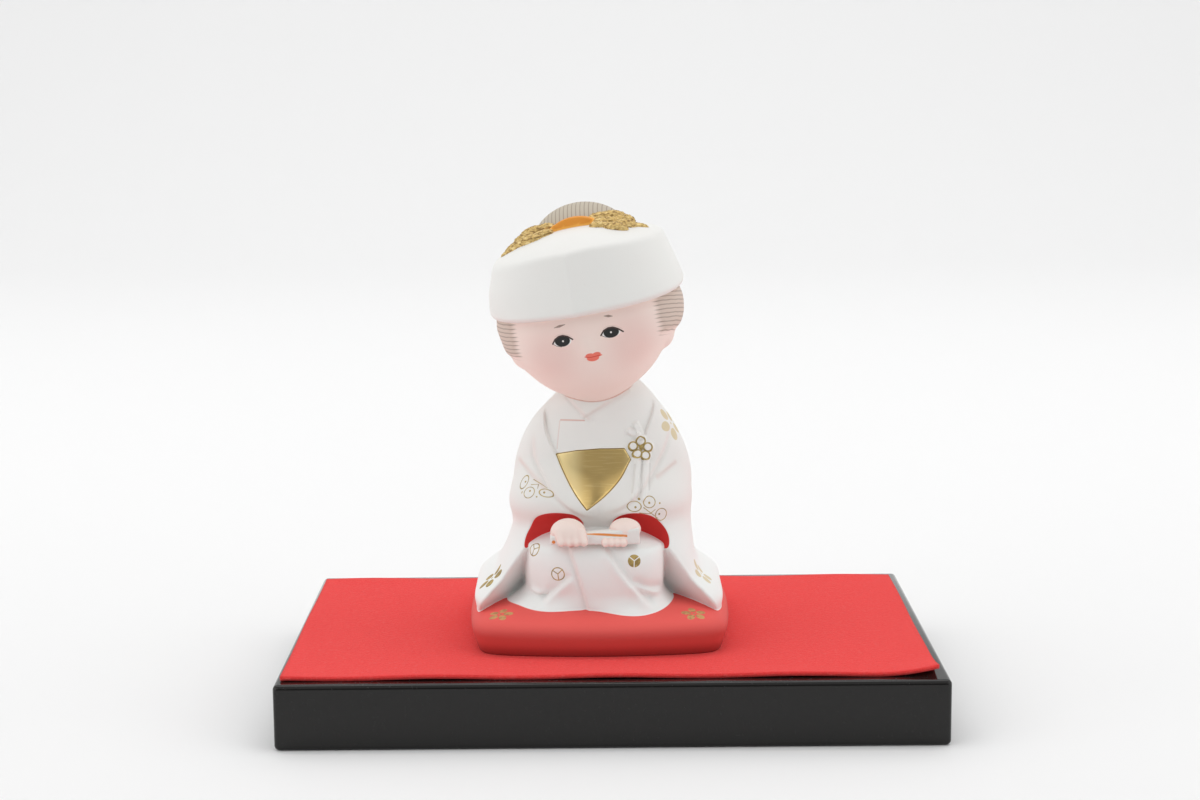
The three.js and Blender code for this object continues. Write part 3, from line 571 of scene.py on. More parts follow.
# Folds and bands: the collars, sash, robe edges and folds over the knees, on curves through points in x and
# z on the front. A fold is its points, its rise and reach to the left and to the right, the share of it in
# which its ends fade, and how strongly the airbrush followed it. A patch is a front y and two heights.
ROBE_EDGE_LEFT = [
    [43.3, -3.9], [47.5, -6.9], [52, -9.7], [57, -12.3], [61.2, -14.1], [64.6, -15.9], [70, -17.5],
    [75.5, -17.4], [79, -16.1], [84, -14],
]
ROBE_EDGE_RIGHT = [
    [43.3, -3.9], [46, -0.2], [49.1, 3.3], [53.7, 7.4], [59.2, 10.6], [63, 13.4], [67.3, 15.5], [71, 16.9],
    [75.4, 18.2], [78.6, 18.1], [84, 16.5],
]
SASH_TOP = ([-14, -7.2, 0.2, 8.5, 10.6, 12], [61, 62.3, 62.9, 62.9, 59.2, 56])
CHEST_FOLDS = [
    ([(-12.8, 82), (-4.2, 73.2), (-2, 71.5)], (0.35, 2.2), (-0.35, 0.8), 0.02, 0.45),
    ([(9.9, 81.8), (3, 77.4), (-2.7, 73.9), (-5, 72.5)], (-0.45, 0.9), (0.45, 2.6), 0.02, 0.45),
    (
        [(-21, 68), (-20.9, 60), (-17.7, 54), (-13, 47.4), (-6.6, 42.4), (-1, 40.6)],
        (0.35, 3), (-0.55, 1.1), 0.25, 0.3,
    ),
    (
        [(24.2, 70), (21.4, 62.1), (17.8, 55.7), (12, 48.2), (6.5, 44), (1, 42.2)],
        (-0.55, 1.1), (0.35, 3), 0.25, 0.3,
    ),
    ([(-27, 58.4), (-20.6, 53.4), (-16.7, 49.9)], (0.2, 1.5), (-0.3, 0.8), 0.3, 0.6),
    ([(26, 57.7), (18.2, 53.2)], (-0.3, 0.8), (0.2, 1.5), 0.3, 0.6),
]
LAP_FOLDS = [
    ([(-10.6, 35), (-8, 27.8), (-5.4, 19.1), (-3.6, 11.5)], (0.5, 3.5), (-0.7, 1.2), 0.1, 0.35),
    ([(1, 34.5), (3.6, 31), (7, 25.6), (11.9, 19.4), (17.4, 13.4)], (-1, 2.4), (0.8, 2.6), 0.15, 0.1),
    ([(9.9, 23), (14, 20.3), (20.5, 18.2)], (-0.8, 2.2), (0.6, 1.8), 0.2, 0.1),
    ([(-8.3, 24.6), (-11.5, 21.4), (-14.6, 18.4), (-19.2, 14.8)], (0.7, 2.2), (-0.9, 2.2), 0.2, 0.1),
    ([(-24.5, 18.6), (-20.5, 17.2), (-16, 17.6)], (0.6, 1.6), (-0.6, 2), 0.2, 0.1),
]
CHEST_PATCH = (-3, 40, 86)
KNEES_PATCH = (-22, 10, 40)


def curve_through(points, steps=4):
    """A Catmull-Rom curve through the points, with `steps` chords between each two."""
    points = np.array(points, float)
    last = len(points) - 1
    line = []
    for i in range(last):
        before, start, end, after = (points[k] for k in (max(i - 1, 0), i, i + 1, min(i + 2, last)))
        for t in np.arange(steps) / steps:
            cubic = -before + 3 * start - 3 * end + after
            square = 2 * before - 5 * start + 4 * end - after
            line.append(0.5 * (2 * start + (end - before) * t + square * t * t + cubic * t ** 3))
    line.append(points[-1])
    return np.array(line)


def beside(x, z, line):
    """The distance to a line, its side as +1 on the left and -1 on the right, and the share along it."""
    steps = np.diff(line, axis=0)
    lengths = np.hypot(*steps.T)
    starts = np.concatenate([[0], np.cumsum(lengths)]) / lengths.sum()
    nearest = np.full(x.shape, 1e9)
    side = np.zeros(x.shape)
    share = np.zeros(x.shape)
    for i, (step, length) in enumerate(zip(steps, lengths)):
        dx, dz = x - line[i, 0], z - line[i, 1]
        t = np.clip((dx * step[0] + dz * step[1]) / length ** 2, 0, 1)
        distance = np.hypot(dx - t * step[0], dz - t * step[1])
        closer = distance < nearest
        nearest = np.where(closer, distance, nearest)
        side = np.where(closer, np.sign(step[0] * dz - step[1] * dx), side)
        share = np.where(closer, starts[i] + t * (starts[i + 1] - starts[i]), share)
    return nearest, side, share


def fold_rise(x, z, fold):
    points, (left, left_reach), (right, right_reach), fade, _ = fold
    distance, side, share = beside(x, z, curve_through(points))
    ends = np.clip(share / fade, 0, 1) * np.clip((1 - share) / fade, 0, 1)
    on_left = 1 / (1 + np.exp(-side * distance / 0.25))
    rise = left * np.exp(-(distance / left_reach) ** 2) * on_left
    rise += right * np.exp(-(distance / right_reach) ** 2) * (1 - on_left)
    return rise * ends * ends * (3 - 2 * ends)


def into_opening(x, z):
    """How far a point of the front is inside the outer robe's opening, below zero where it isn't."""
    left = smooth_rows(ROBE_EDGE_LEFT, z)[:, 1]
    right = smooth_rows(ROBE_EDGE_RIGHT, z)[:, 1]
    return np.minimum(np.minimum(x - left, right - x) * 0.85, z - 43.5)


def under_sash_top(x, z):
    return np.interp(x, *SASH_TOP) - z


def chest_relief(x, z):
    inside = eased(-0.35, 0.45, into_opening(x, z))
    depth = 1 - 0.75 * eased(69, 80, z)
    rise = -depth * inside + 0.35 * inside * eased(-0.25, 0.25, under_sash_top(x, z))
    for fold in CHEST_FOLDS:
        rise += fold_rise(x, z, fold)
    return rise + flower_rise(x, z)


# Chest flower: a five-petalled flower of modelled clay in the robe's edge, with a white cord's tassels
# below. It and the folds make the relief that is taken onto the front of the robes.
PETALS = [(14.0, 65.3), (11.6, 63.6), (16.4, 63.2), (12.8, 61.0), (15.5, 60.6)]
FLOWER_HEART = (14.1, 62.8)
CORD_ENDS = [((14.2, 66.5), (12.4, 70.0)), ((13, 66.8), (10.2, 68.2))]
TASSEL_STRANDS = [((13, 58.8), (11.3, 47.7)), ((15.4, 58.7), (14.5, 47.8))]


def flower_rise(x, z):
    rise = 0.3 * eased(1.0, 0.4, np.hypot(x - FLOWER_HEART[0], z - FLOWER_HEART[1]))
    petals = np.min([np.hypot(x - a, z - b) for a, b in PETALS], axis=0)
    rise += 0.8 * eased(1.9, 1.2, petals)
    for line in CORD_ENDS:
        rise += 0.6 * eased(1.3, 0.7, beside(x, z, np.array(line))[0])
    for line in TASSEL_STRANDS:
        rise += 0.6 * eased(1.3, 0.45, beside(x, z, np.array(line))[0])
    return rise


def on_patch(p, patch):
    front, low, high = patch
    return (p[:, 1] < front) & (p[:, 2] > low) & (p[:, 2] < high)


def relief(p):
    x, y, z = p.T
    rise = np.zeros(len(p))
    chest, knees = on_patch(p, CHEST_PATCH), on_patch(p, KNEES_PATCH)
    rise[chest] = chest_relief(x[chest], z[chest]) * eased(CHEST_PATCH[0], CHEST_PATCH[0] - 5, y[chest])
    lap_rise = sum(fold_rise(x[knees], z[knees], fold) for fold in LAP_FOLDS)
    rise[knees] += lap_rise * eased(KNEES_PATCH[0], KNEES_PATCH[0] - 4, y[knees])
    return rise


# Hands: the backs of both hands with their fingers, and the closed fan that lies across between them.
# The fan is a flat bar that grows higher to its right end.
FINGERS = 4
LEFT_HAND = ((-10.0, -28.4, 37.8), (5.7, 5.2, 4.5))
LEFT_FINGERS = {"from": (-12.8, -31.4, 38.4), "to": (-12.1, -33.3, 35.5), "pitch": 2.4, "radii": (1.45, 1.3)}
RIGHT_HAND = ((8.4, -27.4, 38.5), (5.1, 5.0, 3.5))
RIGHT_FINGERS = {"from": (1.8, -30.2, 37.0), "to": (2.0, -32.9, 35.0), "pitch": 1.95, "radii": (1.25, 1.15)}
FAN_ENDS = ((-15.4, -30.6, 35.8), (12.6, -29.4, 37.0))
FAN_HALF_THICKNESS = 2.0
FAN_HALF_HEIGHTS = (1.0, 2.2)
FAN_ROUNDING = 0.3


def hand(p, back, fingers, softness):
    form = egg(p, *back)
    for i in range(FINGERS):
        start, end = ((x + i * fingers["pitch"], y, z) for x, y, z in (fingers["from"], fingers["to"]))
        form = joined(form, rod(p, start, end, *fingers["radii"]), softness)
    return form


def hands(p):
    left = hand(p, LEFT_HAND, LEFT_FINGERS, 0.9)
    return np.minimum(left, hand(p, RIGHT_HAND, RIGHT_FINGERS, 0.6))


def fan(p):
    start, end = (np.array(e) for e in FAN_ENDS)
    along = end - start
    length = np.linalg.norm(along)
    along /= length
    rising = np.cross(along, (0, 1, 0))
    rising /= -np.linalg.norm(rising)
    rising *= 1 if rising[2] > 0 else -1
    q = p - (start + end) / 2
    u, v, w = q @ along, q[:, 1], q @ rising
    share = np.clip(u / length + 0.5, 0, 1)
    half_height = FAN_HALF_HEIGHTS[0] + (FAN_HALF_HEIGHTS[1] - FAN_HALF_HEIGHTS[0]) * share
    sides = [np.abs(u) - length / 2, np.abs(v) - FAN_HALF_THICKNESS, np.abs(w) - half_height]
    outside = np.stack(sides, -1)
    return np.linalg.norm(np.maximum(outside, 0), axis=-1) + np.minimum(outside.max(-1), 0) - FAN_ROUNDING


# Head: a round childlike face under a hood. It leans to the doll's right shoulder and turns a little that
# way, and its forms are in its own frame. The hair stands a little proud of the face.
HEAD_CENTRE = np.array([-2.4, -2, 101.5])
HEAD_LEAN = math.radians(10)
HEAD_TURN = math.radians(5)
FACE = [
    [-25.5, -0.1, 0.8, -3, 1, 2.15], [-24.9, -0.1, 3.2, -6.8, 3.4, 2.15], [-23.3, 0, 6.7, -11.8, 7.4, 2.15],
    [-21.3, 0, 10.4, -15.5, 10.6, 2.15], [-18.4, 0, 15.3, -19.1, 14.4, 2.15],
    [-15.5, 0, 18.9, -21.5, 17.5, 2.15], [-11.7, 0, 22.3, -23.6, 20.5, 2.15],
    [-8, 0.2, 25.4, -24.8, 22.5, 2.15], [-4, 0.6, 28.2, -25.4, 24, 2.15], [0, 0.9, 29.6, -25.6, 25, 2.15],
    [6, 0.7, 30, -25.6, 26, 2.15], [12, 0.6, 27, -23, 24, 2.15], [20, 0.8, 12, -12, 14, 2.15],
]
NOSE = ((0.2, -23.6, -4.2), (1.5, 1.7, 2.4))
EARS = [((-23.2, -3, -6), (3.2, 4.5, 3.6)), ((23.6, -3, -6.6), (3, 4.5, 3.9))]
HAIR_RISE = 0.55
HAIR_FOOT = -5.1
HAIR_FOOT_SLOPE = 0.06
HAIR_FRONT = 23.6
NECK = ((1, 2, 70), (-1, 0, 90), 9.5)


def head_axes():
    right = np.array([math.cos(HEAD_LEAN), 0, math.sin(HEAD_LEAN)])
    up = np.array([-math.sin(HEAD_LEAN), 0, math.cos(HEAD_LEAN)])
    back = np.array([0, 1, 0])
    across = math.cos(HEAD_TURN) * right - math.sin(HEAD_TURN) * back
    along = math.sin(HEAD_TURN) * right + math.cos(HEAD_TURN) * back
    return np.stack([across, along, up])


HEAD_AXES = head_axes()


def in_head(p):
    return (p - HEAD_CENTRE) @ HEAD_AXES.T


def into_hair(h):
    """How far a point of the head is inside the hair's outline, below zero where it isn't."""
    x, y, z = h.T
    wave = 0.18 * np.sin(z * 1.3)
    from_front = np.abs(x - 0.7) + wave + 2 * np.maximum(y + 4, 0) - HAIR_FRONT
    foot = HAIR_FOOT - HAIR_FOOT_SLOPE * np.minimum(y, 0) - 0.5 * np.maximum(y, 0)
    return np.minimum(from_front, z - foot)


def bare_face(h):
    form = joined(lofted(h, FACE), egg(h, *NOSE), 3)
    ears = np.minimum(egg(h, *EARS[0]), egg(h, *EARS[1]))
    return joined(form, ears, 2)


def face(h):
    rise = HAIR_RISE * eased(-1.2, 1.6, into_hair(h)) * eased(9, 7, h[:, 2])
    return bare_face(h) - rise


# Hood: the bride's white hood. A stiff band flares down to a rounded rim that rises a little to the back,
# with a keel in front, under a domed top.
HOOD_RIM = 6.9
HOOD_RIM_FRONT = -30
HOOD_RIM_SLOPE = 0.06
HOOD_RIM_SOFTNESS = 2.4
HOOD_BAND = [
    [4, 1.2, 32.8, -30.8, 30, 2.3], [8, 1.1, 32.3, -30.2, 29.4, 2.3], [12, 0.9, 32, -29.4, 28.6, 2.3],
    [17, 0.7, 31, -28.4, 27.6, 2.3], [22, 0.9, 29.5, -27.4, 26.6, 2.3], [27.5, 1, 27.8, -26.2, 25.4, 2.3],
    [36, 0.9, 25.4, -24.6, 23.8, 2.3],
]
HOOD_DOME = ((2, 0, 6.6), (41.5, 42, 27.2))
HOOD_SOFTNESS = 1.0
HOOD_KEEL = 1.3
HOOD_KEEL_X = -0.9
HOOD_KEEL_REACH = 7


def hood(h):
    keeled = h.copy()
    keel = HOOD_KEEL * np.exp(-np.sqrt((h[:, 0] - HOOD_KEEL_X) ** 2 + 0.02) / HOOD_KEEL_REACH)
    keeled[:, 1] += np.where(h[:, 1] < 0, keel, 0)
    form = common(lofted(keeled, HOOD_BAND), egg(h, *HOOD_DOME), HOOD_SOFTNESS)
    rim = HOOD_RIM + HOOD_RIM_SLOPE * (h[:, 1] - HOOD_RIM_FRONT)
    return common(form, rim - h[:, 2], HOOD_RIM_SOFTNESS)


# Hair ornaments: the hair's bun on the hood's dome, an orange comb standing in front of it, and two sprays
# of overlapping gold leaves. Each leaf is (x, y, lift off the dome, direction, length, width, height). It
# has a groove along its middle and fine veins that slant out of it towards the tip.
BUN = ((1.4, 9, 24.4), (17.6, 15.5, 15.4))
COMB_MIDDLE = (1.6, -6.2)
COMB_HALF_THICKNESS = 1.8
COMB_ROUNDING = 0.2
COMB_ARCS = {"top": 36.3, "outer": 13.6, "inner_top": 33.2, "inner": 20}
LEAVES = [
    (-20.4, -7.2, 0, -22, 4.2, 1.3, 1.2), (-17.8, -7.2, 0.3, -20, 4.6, 2.1, 1.7),
    (-15, -4.8, 0.7, -26, 4.6, 2.1, 2.1), (-12.2, -3.4, 1.3, -20, 5, 2.2, 2.3),
    (-8.8, -3.4, 1.1, -8, 4.2, 2, 2), (-13.2, -9.2, 0.5, -16, 4.8, 2.1, 1.8),
    (-9, -8.8, 0.4, -4, 4, 1.9, 1.7), (10.2, -3.4, 1.1, 4, 4.4, 2, 2.2), (14, -3.4, 1.3, 2, 4.8, 2.2, 2.5),
    (17.4, -4.4, 0.6, 14, 4, 2.1, 2.3), (12.2, -7.2, 0.5, 8, 4.8, 2, 1.9),
    (10.4, -10.4, 0.3, -4, 3.8, 1.7, 1.5), (15.4, -12.6, 0.4, -12, 4.2, 1.9, 1.8),
    (18, -9.2, 0.3, 18, 4, 2.1, 2.1), (21.8, -7, 0, 22, 4, 1.3, 1.2),
]
LEAF_GROOVE = 0.3
LEAF_GROOVE_WIDTH = 0.3
LEAF_VEIN = 0.13
LEAF_VEINS_APART = 1.15
LEAF_SOFTNESS = 0.15


def bun(h):
    return egg(h, *BUN)


def comb(h):
    x = h[:, 0] - COMB_MIDDLE[0]
    arc = np.hypot(x, h[:, 2] - COMB_ARCS["top"] + COMB_ARCS["outer"]) - COMB_ARCS["outer"]
    hollow = COMB_ARCS["inner"] - np.hypot(x, h[:, 2] - COMB_ARCS["inner_top"] + COMB_ARCS["inner"])
    slab = np.abs(h[:, 1] - COMB_MIDDLE[1]) - COMB_HALF_THICKNESS
    return np.maximum(np.maximum(arc, hollow), slab) - COMB_ROUNDING


def leaf(h, x, y, lift, direction, length, width, height):
    (cx, cy, cz), (a, b, c) = HOOD_DOME
    u, v = (x - cx) / a, (y - cy) / b
    rise = math.sqrt(1 - u * u - v * v)
    normal = np.array([u / a, v / b, rise / c])
    normal /= np.linalg.norm(normal)
    tip = np.array([math.cos(math.radians(direction)), math.sin(math.radians(direction)), 0])
    tip -= normal * (tip @ normal)
    tip /= np.linalg.norm(tip)
    axes = np.stack([tip, np.cross(normal, tip), normal])
    middle = np.array([x, y, cz + c * rise]) + lift * normal
    q = (h - middle) @ axes.T
    aside = np.abs(q[:, 1])
    outward = q[:, 0] * (1 if x > 0 else -1)
    veins = np.sin((outward - aside) * 2 * math.pi / LEAF_VEINS_APART)
    carving = LEAF_GROOVE * np.exp(-(aside / LEAF_GROOVE_WIDTH) ** 2) - LEAF_VEIN * veins
    return egg(q, (0, 0, 0), (length, width, height)) + carving


def leaves(h):
    form = leaf(h, *LEAVES[0])
    for row in LEAVES[1:]:
        form = joined(form, leaf(h, *row), LEAF_SOFTNESS)
    return form


# Casting: the doll is one hollow shell of fired clay with all its forms joined, here one closed skin. It is
# worked out by stepping a grid towards the surface, and then drawn onto it.
SKIN_CELL = 0.45
SKIN_TRIANGLES = 190000
CAST_LOW = (-44.5, -46.0, -SKIN_CELL)
CAST_HIGH = (44.5, 46.0, 143.0)
LOWEST_HEAD = 68
HIGHEST_BODY = 92
HIGHEST_CUSHION = 24


def head(h):
    form = joined(face(h), hood(h), 0.8)
    for other, softness in ((bun, 0.5), (comb, 0.4), (leaves, 0.4)):
        form = joined(form, other(h), softness)
    return form


def figure(p):
    form = common(uncut_body(p), -sleeve_mouths(p), 0.5)
    form = joined(form, egg(p, *BACK_BOW), 8)
    form = joined(form, lap(p), 0.8) - relief(p)
    form = joined(form, hands(p), 0.4)
    return joined(form, fan(p), 0.4)


def doll_form(p):
    far = np.full(len(p), 9.0)
    body_part, head_part = far.copy(), far.copy()
    low = p[:, 2] < HIGHEST_BODY
    body_part[low] = figure(p[low])
    seat = p[:, 2] < HIGHEST_CUSHION
    body_part[seat] = joined(cushion(p[seat]), body_part[seat], 0.5)
    high = p[:, 2] > LOWEST_HEAD
    body_part[high] = joined(body_part[high], rod(p[high], *NECK), 1)
    head_part[high] = head(in_head(p[high]))
    return np.minimum(body_part, head_part)


def twice_as_fine(values):
    for axis in range(3):
        values = np.moveaxis(values, axis, 0)
        finer = np.empty((2 * values.shape[0] - 1,) + values.shape[1:], values.dtype)
        finer[::2] = values
        finer[1::2] = (values[1:] + values[:-1]) / 2
        values = np.moveaxis(finer, 0, axis)
    return values


def near_grid(form, low, high, cell):
    """The form's values on a grid, exact near its surface."""
    wide = cell * 4
    count = np.ceil((high - low) / wide).astype(int) + 1
    places = np.stack(np.meshgrid(*(np.arange(n) for n in count), indexing="ij"), -1)
    values = form(low + places.reshape(-1, 3) * wide).reshape(count)
    for step, reach in ((cell * 2, 2.6), (cell, 1.1)):
        values = twice_as_fine(values)
        near = np.argwhere(np.abs(values) < reach)
        values[tuple(near.T)] = form(low + near * step)
    return values


def net_of(values, low, cell):
    """A closed net of four-sided faces where the grid's values change sign."""
    inside = values < 0
    size = np.array(values.shape) - 1
    corners = [np.array((i, j, k)) for i in (0, 1) for j in (0, 1) for k in (0, 1)]
    filled = sum(
        inside[i:i + size[0], j:j + size[1], k:k + size[2]].astype(np.int8) for i, j, k in corners
    )
    cells = np.argwhere((filled > 0) & (filled < 8))
    number = np.full(size, -1)
    number[tuple(cells.T)] = np.arange(len(cells))
    total = np.zeros((len(cells), 3))
    crossings = np.zeros(len(cells))
    for axis in range(3):
        step = np.eye(3, dtype=int)[axis]
        for corner in corners:
            if corner[axis]:
                continue
            start = values[tuple((cells + corner).T)]
            end = values[tuple((cells + corner + step).T)]
            crossed = (start < 0) != (end < 0)
            share = np.where(crossed, start / np.where(crossed, start - end, 1), 0)
            total += np.where(crossed[:, None], corner + share[:, None] * step, 0)
            crossings += crossed
    points = low + (cells + total / crossings[:, None]) * cell
    faces = []
    for axis in range(3):
        step, second, third = (np.eye(3, dtype=int)[(axis + k) % 3] for k in range(3))
        stop = [size[k] + (0 if k == axis else 1) for k in range(3)]
        here = inside[:stop[0], :stop[1], :stop[2]]
        ahead = inside[step[0]:, step[1]:, step[2]:][:stop[0], :stop[1], :stop[2]]
        edges = np.argwhere(here != ahead)
        others = [k for k in range(3) if k != axis]
        edges = edges[(edges[:, others] > 0).all(-1) & (edges[:, others] < size[others]).all(-1)]
        ring = [number[tuple((edges - shift).T)] for shift in (0 * step, second, second + third, third)]
        quads = np.stack(ring, -1)
        outward = inside[tuple(edges.T)]
        faces.append(np.where(outward[:, None], quads, quads[:, ::-1]))
    return points, np.concatenate(faces)


def drawn_onto(form, points, most):
    """The points moved onto the form's surface, each by no more than `most`."""
    probe = 0.02
    value = form(points)
    slope = np.stack([(form(points + probe * axis) - value) / probe for axis in np.eye(3)], -1)
    step = -value / np.maximum((slope * slope).sum(-1), 0.05)
    move = slope * step[:, None]
    length = np.linalg.norm(move, axis=-1, keepdims=True)
    return points + move * np.minimum(1, most / np.maximum(length, 1e-9))


def thinned(mesh, triangles):
    """The mesh with fewer triangles, fewest where it is flat."""
    piece = new_object("thinning", mesh)
    ratio = triangles / sum(len(face.vertices) - 2 for face in mesh.polygons)
    if ratio < 1:
        modifier = piece.modifiers.new("thin", "DECIMATE")
        modifier.ratio = ratio
    depsgraph = bpy.context.evaluated_depsgraph_get()
    result = bpy.data.meshes.new_from_object(piece.evaluated_get(depsgraph))
    bpy.data.objects.remove(piece)
    return result


def coordinates(mesh):
    values = np.empty(len(mesh.vertices) * 3, np.float32)
    mesh.vertices.foreach_get("co", values)
    return values.reshape(-1, 3).astype(float)


def cast_doll():
    low, high = np.array(CAST_LOW), np.array(CAST_HIGH)
    points, faces = net_of(near_grid(doll_form, low, high, SKIN_CELL), low, SKIN_CELL)
    mesh = thinned(mesh_of("painted_doll", points, faces), SKIN_TRIANGLES)
    points = drawn_onto(doll_form, coordinates(mesh), SKIN_CELL / 2)
    points[:, 2] = np.maximum(points[:, 2], 0)
    return mesh, points


def place_of_doll():
    low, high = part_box("doll")
    middle = (low + high) / 2 / MM
    return np.array([middle.x, middle.y, low.z / MM])


DOLL_PLACE = place_of_doll()


def apart(own, *others):
    """Below zero where a form lies outside all the others."""
    return own - np.minimum.reduce(others)


def regions(p):
    """Signed distances to the borders of the painted regions, below zero inside each."""
    h = in_head(p)
    body_part, head_part, seat = figure(p), head(h), cushion(p)
    gown = joined(uncut_body(p), egg(p, *BACK_BOW), 8)
    knees, fingers, closed_fan, cut = lap(p), hands(p), fan(p), -sleeve_mouths(p)
    worn, knot, arched, sprays = hood(h), bun(h), comb(h), leaves(h)
    under_lining = apart(np.maximum(gown, cut), knees - 0.05, fingers, closed_fan)
    sash = np.minimum(into_opening(p[:, 0], p[:, 2]), under_sash_top(p[:, 0], p[:, 2]))
    return {
        "cushion": apart(seat, body_part, head_part),
        "head": apart(head_part, body_part, seat),
        "lining": np.maximum(gown - cut, under_lining),
        "hand": apart(fingers, gown, knees, closed_fan),
        "fan": apart(closed_fan, gown, knees, fingers),
        "sash": np.where(p[:, 1] < CHEST_PATCH[0], -sash, 5),
        "hood": apart(worn, face(h), knot, arched, sprays),
        "hair": -into_hair(h),
        "bun": apart(knot, worn, arched, sprays),
        "comb": np.maximum(apart(arched, worn, knot, sprays), arched - 1),
        "leaves": np.maximum(apart(sprays, worn, knot, arched), sprays - 1),
    }


def fold_tint(p):
    """Where the airbrush followed a fold on the front: 1 along it, dying away beside it."""
    tint = np.zeros(len(p))
    for folds, patch in ((CHEST_FOLDS, CHEST_PATCH), (LAP_FOLDS, KNEES_PATCH)):
        part = on_patch(p, patch)
        for points, _, _, _, strength in folds:
            distance, _, share = beside(p[part, 0], p[part, 2], curve_through(points))
            ends = strength * eased(0, 0.12, share) * eased(0, 0.12, 1 - share)
            tint[part] = np.maximum(tint[part], ends * np.exp(-(distance / 0.8) ** 2))
    return tint


# Paint: the fired clay is primed matte white, tinted pink in its hollows with an airbrush, and painted by
# brush in flat colours and gold. A motif is a list of brush marks, drawn in millimetres in a flat frame that
# touches the clay. A layer is its marks, its paint and how much of the clay it covers.
CLAY_WHITE = (0.83, 0.825, 0.80, 1)
CLAY_WARM = (0.84, 0.815, 0.785, 1)
COOL_PAINTED_LIGHT = (0.86, 0.885, 0.87, 1)
HOLLOW_PINK = (0.82, 0.73, 0.70, 1)
FOLD_PINK = (0.66, 0.38, 0.32, 1)
SKIN = (0.90, 0.755, 0.695, 1)
BLUSH = (0.78, 0.48, 0.44, 1)
GOLD_LINE = (0.50, 0.37, 0.12, 1)
GOLD_PALE = (0.66, 0.53, 0.27, 1)
GOLD_SHADE = (0.20, 0.14, 0.045, 1)
CLAY_ROUGHNESS = 0.68
GOLD_ROUGHNESS = 0.36
BRUSH_EDGE = 0.09
VIEW_AWAY = 60


def inside(nodes, name):
    """The mask of a painted region."""
    return nodes.rising(nodes.mark(name), BRUSH_EDGE, -BRUSH_EDGE)


def new_group(name, vectors, numbers, outputs):
    """A node group's nodes, its inputs' values and its outputs' sockets."""
    group = bpy.data.node_groups.new(name, "ShaderNodeTree")
    rows = [(socket, "INPUT", "Vector") for socket in vectors.split()]
    rows += [(socket, "INPUT", "Float") for socket in numbers.split()]
    rows += [(socket, "OUTPUT", kind) for socket, kind in outputs.items()]
    for socket, in_out, kind in rows:
        group.interface.new_socket(socket, in_out=in_out, socket_type="NodeSocket" + kind)
    given = group.nodes.new("NodeGroupInput").outputs
    return Nodes(group), given, group.nodes.new("NodeGroupOutput").inputs


def spot_group():
    """The flat frame of a motif: across and up from its middle, and whether the clay there is near it."""
    outputs = {"Spot": "Vector", "Near": "Float"}
    nodes, given, result = new_group("motif spot", "Place Middle Across Up", "Reach", outputs)
    away = nodes.vector("SUBTRACT", given["Place"], given["Middle"])
    across = nodes.vector("DOT_PRODUCT", away, given["Across"])
    up = nodes.vector("DOT_PRODUCT", away, given["Up"])
    outward = nodes.vector("CROSS_PRODUCT", given["Across"], given["Up"])
    depth = nodes.math("ABSOLUTE", nodes.vector("DOT_PRODUCT", away, outward))
    close = nodes.math("LESS_THAN", nodes.vector("LENGTH", away), given["Reach"])
    shallow = nodes.math("LESS_THAN", depth, nodes.times(given["Reach"], 0.42))
    nodes.put(result["Spot"], nodes.add("CombineXYZ", {"X": across, "Y": up}).outputs[0])
    nodes.put(result["Near"], nodes.times(close, shallow))
    return nodes.tree


def oval_distance(nodes, spot, middle, radii):
    """The distance outside an oval, in millimetres, and below zero inside."""
    share = nodes.vector("DIVIDE", nodes.vector("SUBTRACT", spot, middle), radii)
    sizes = nodes.add("SeparateXYZ", {0: radii}).outputs
    least = nodes.math("MINIMUM", sizes["X"], sizes["Y"])
    return nodes.times(nodes.math("SUBTRACT", nodes.vector("LENGTH", share), 1.0), least)


def disc_group():
    nodes, given, result = new_group("painted disc", "Spot Middle Radii", "Blur", {"Mask": "Float"})
    distance = oval_distance(nodes, given["Spot"], given["Middle"], given["Radii"])
    half = nodes.math("ADD", given["Blur"], BRUSH_EDGE)
    nodes.put(result["Mask"], nodes.rising(distance, half, nodes.times(half, -1.0)))
    return nodes.tree


def ring_group():
    nodes, given, result = new_group("painted ring", "Spot Middle Radii", "Line", {"Mask": "Float"})
    distance = oval_distance(nodes, given["Spot"], given["Middle"], given["Radii"])
    off_line = nodes.math("SUBTRACT", nodes.math("ABSOLUTE", distance), nodes.times(given["Line"], 0.5))
    nodes.put(result["Mask"], nodes.rising(off_line, BRUSH_EDGE, -BRUSH_EDGE))
    return nodes.tree


def stroke_group():
    """A brush stroke from one point to another, thinner at its end by the taper."""
    nodes, given, result = new_group("painted stroke", "Spot Start End", "Line Taper", {"Mask": "Float"})
    along = nodes.vector("SUBTRACT", given["End"], given["Start"])
    away = nodes.vector("SUBTRACT", given["Spot"], given["Start"])
    square = nodes.vector("DOT_PRODUCT", along, along)
    share = nodes.math("DIVIDE", nodes.vector("DOT_PRODUCT", away, along), square)
    share = nodes.math("MINIMUM", nodes.most(share, 0.0), 1.0)
    scaled = nodes.add("VectorMath", {0: along, "Scale": share}, operation="SCALE").outputs["Vector"]
    distance = nodes.vector("LENGTH", nodes.vector("SUBTRACT", away, scaled))
    thinning = nodes.math("SUBTRACT", 1.0, nodes.times(share, given["Taper"]))
    off_line = nodes.math("SUBTRACT", distance, nodes.times(nodes.times(given["Line"], 0.5), thinning))
    nodes.put(result["Mask"], nodes.rising(off_line, BRUSH_EDGE, -BRUSH_EDGE))
    return nodes.tree


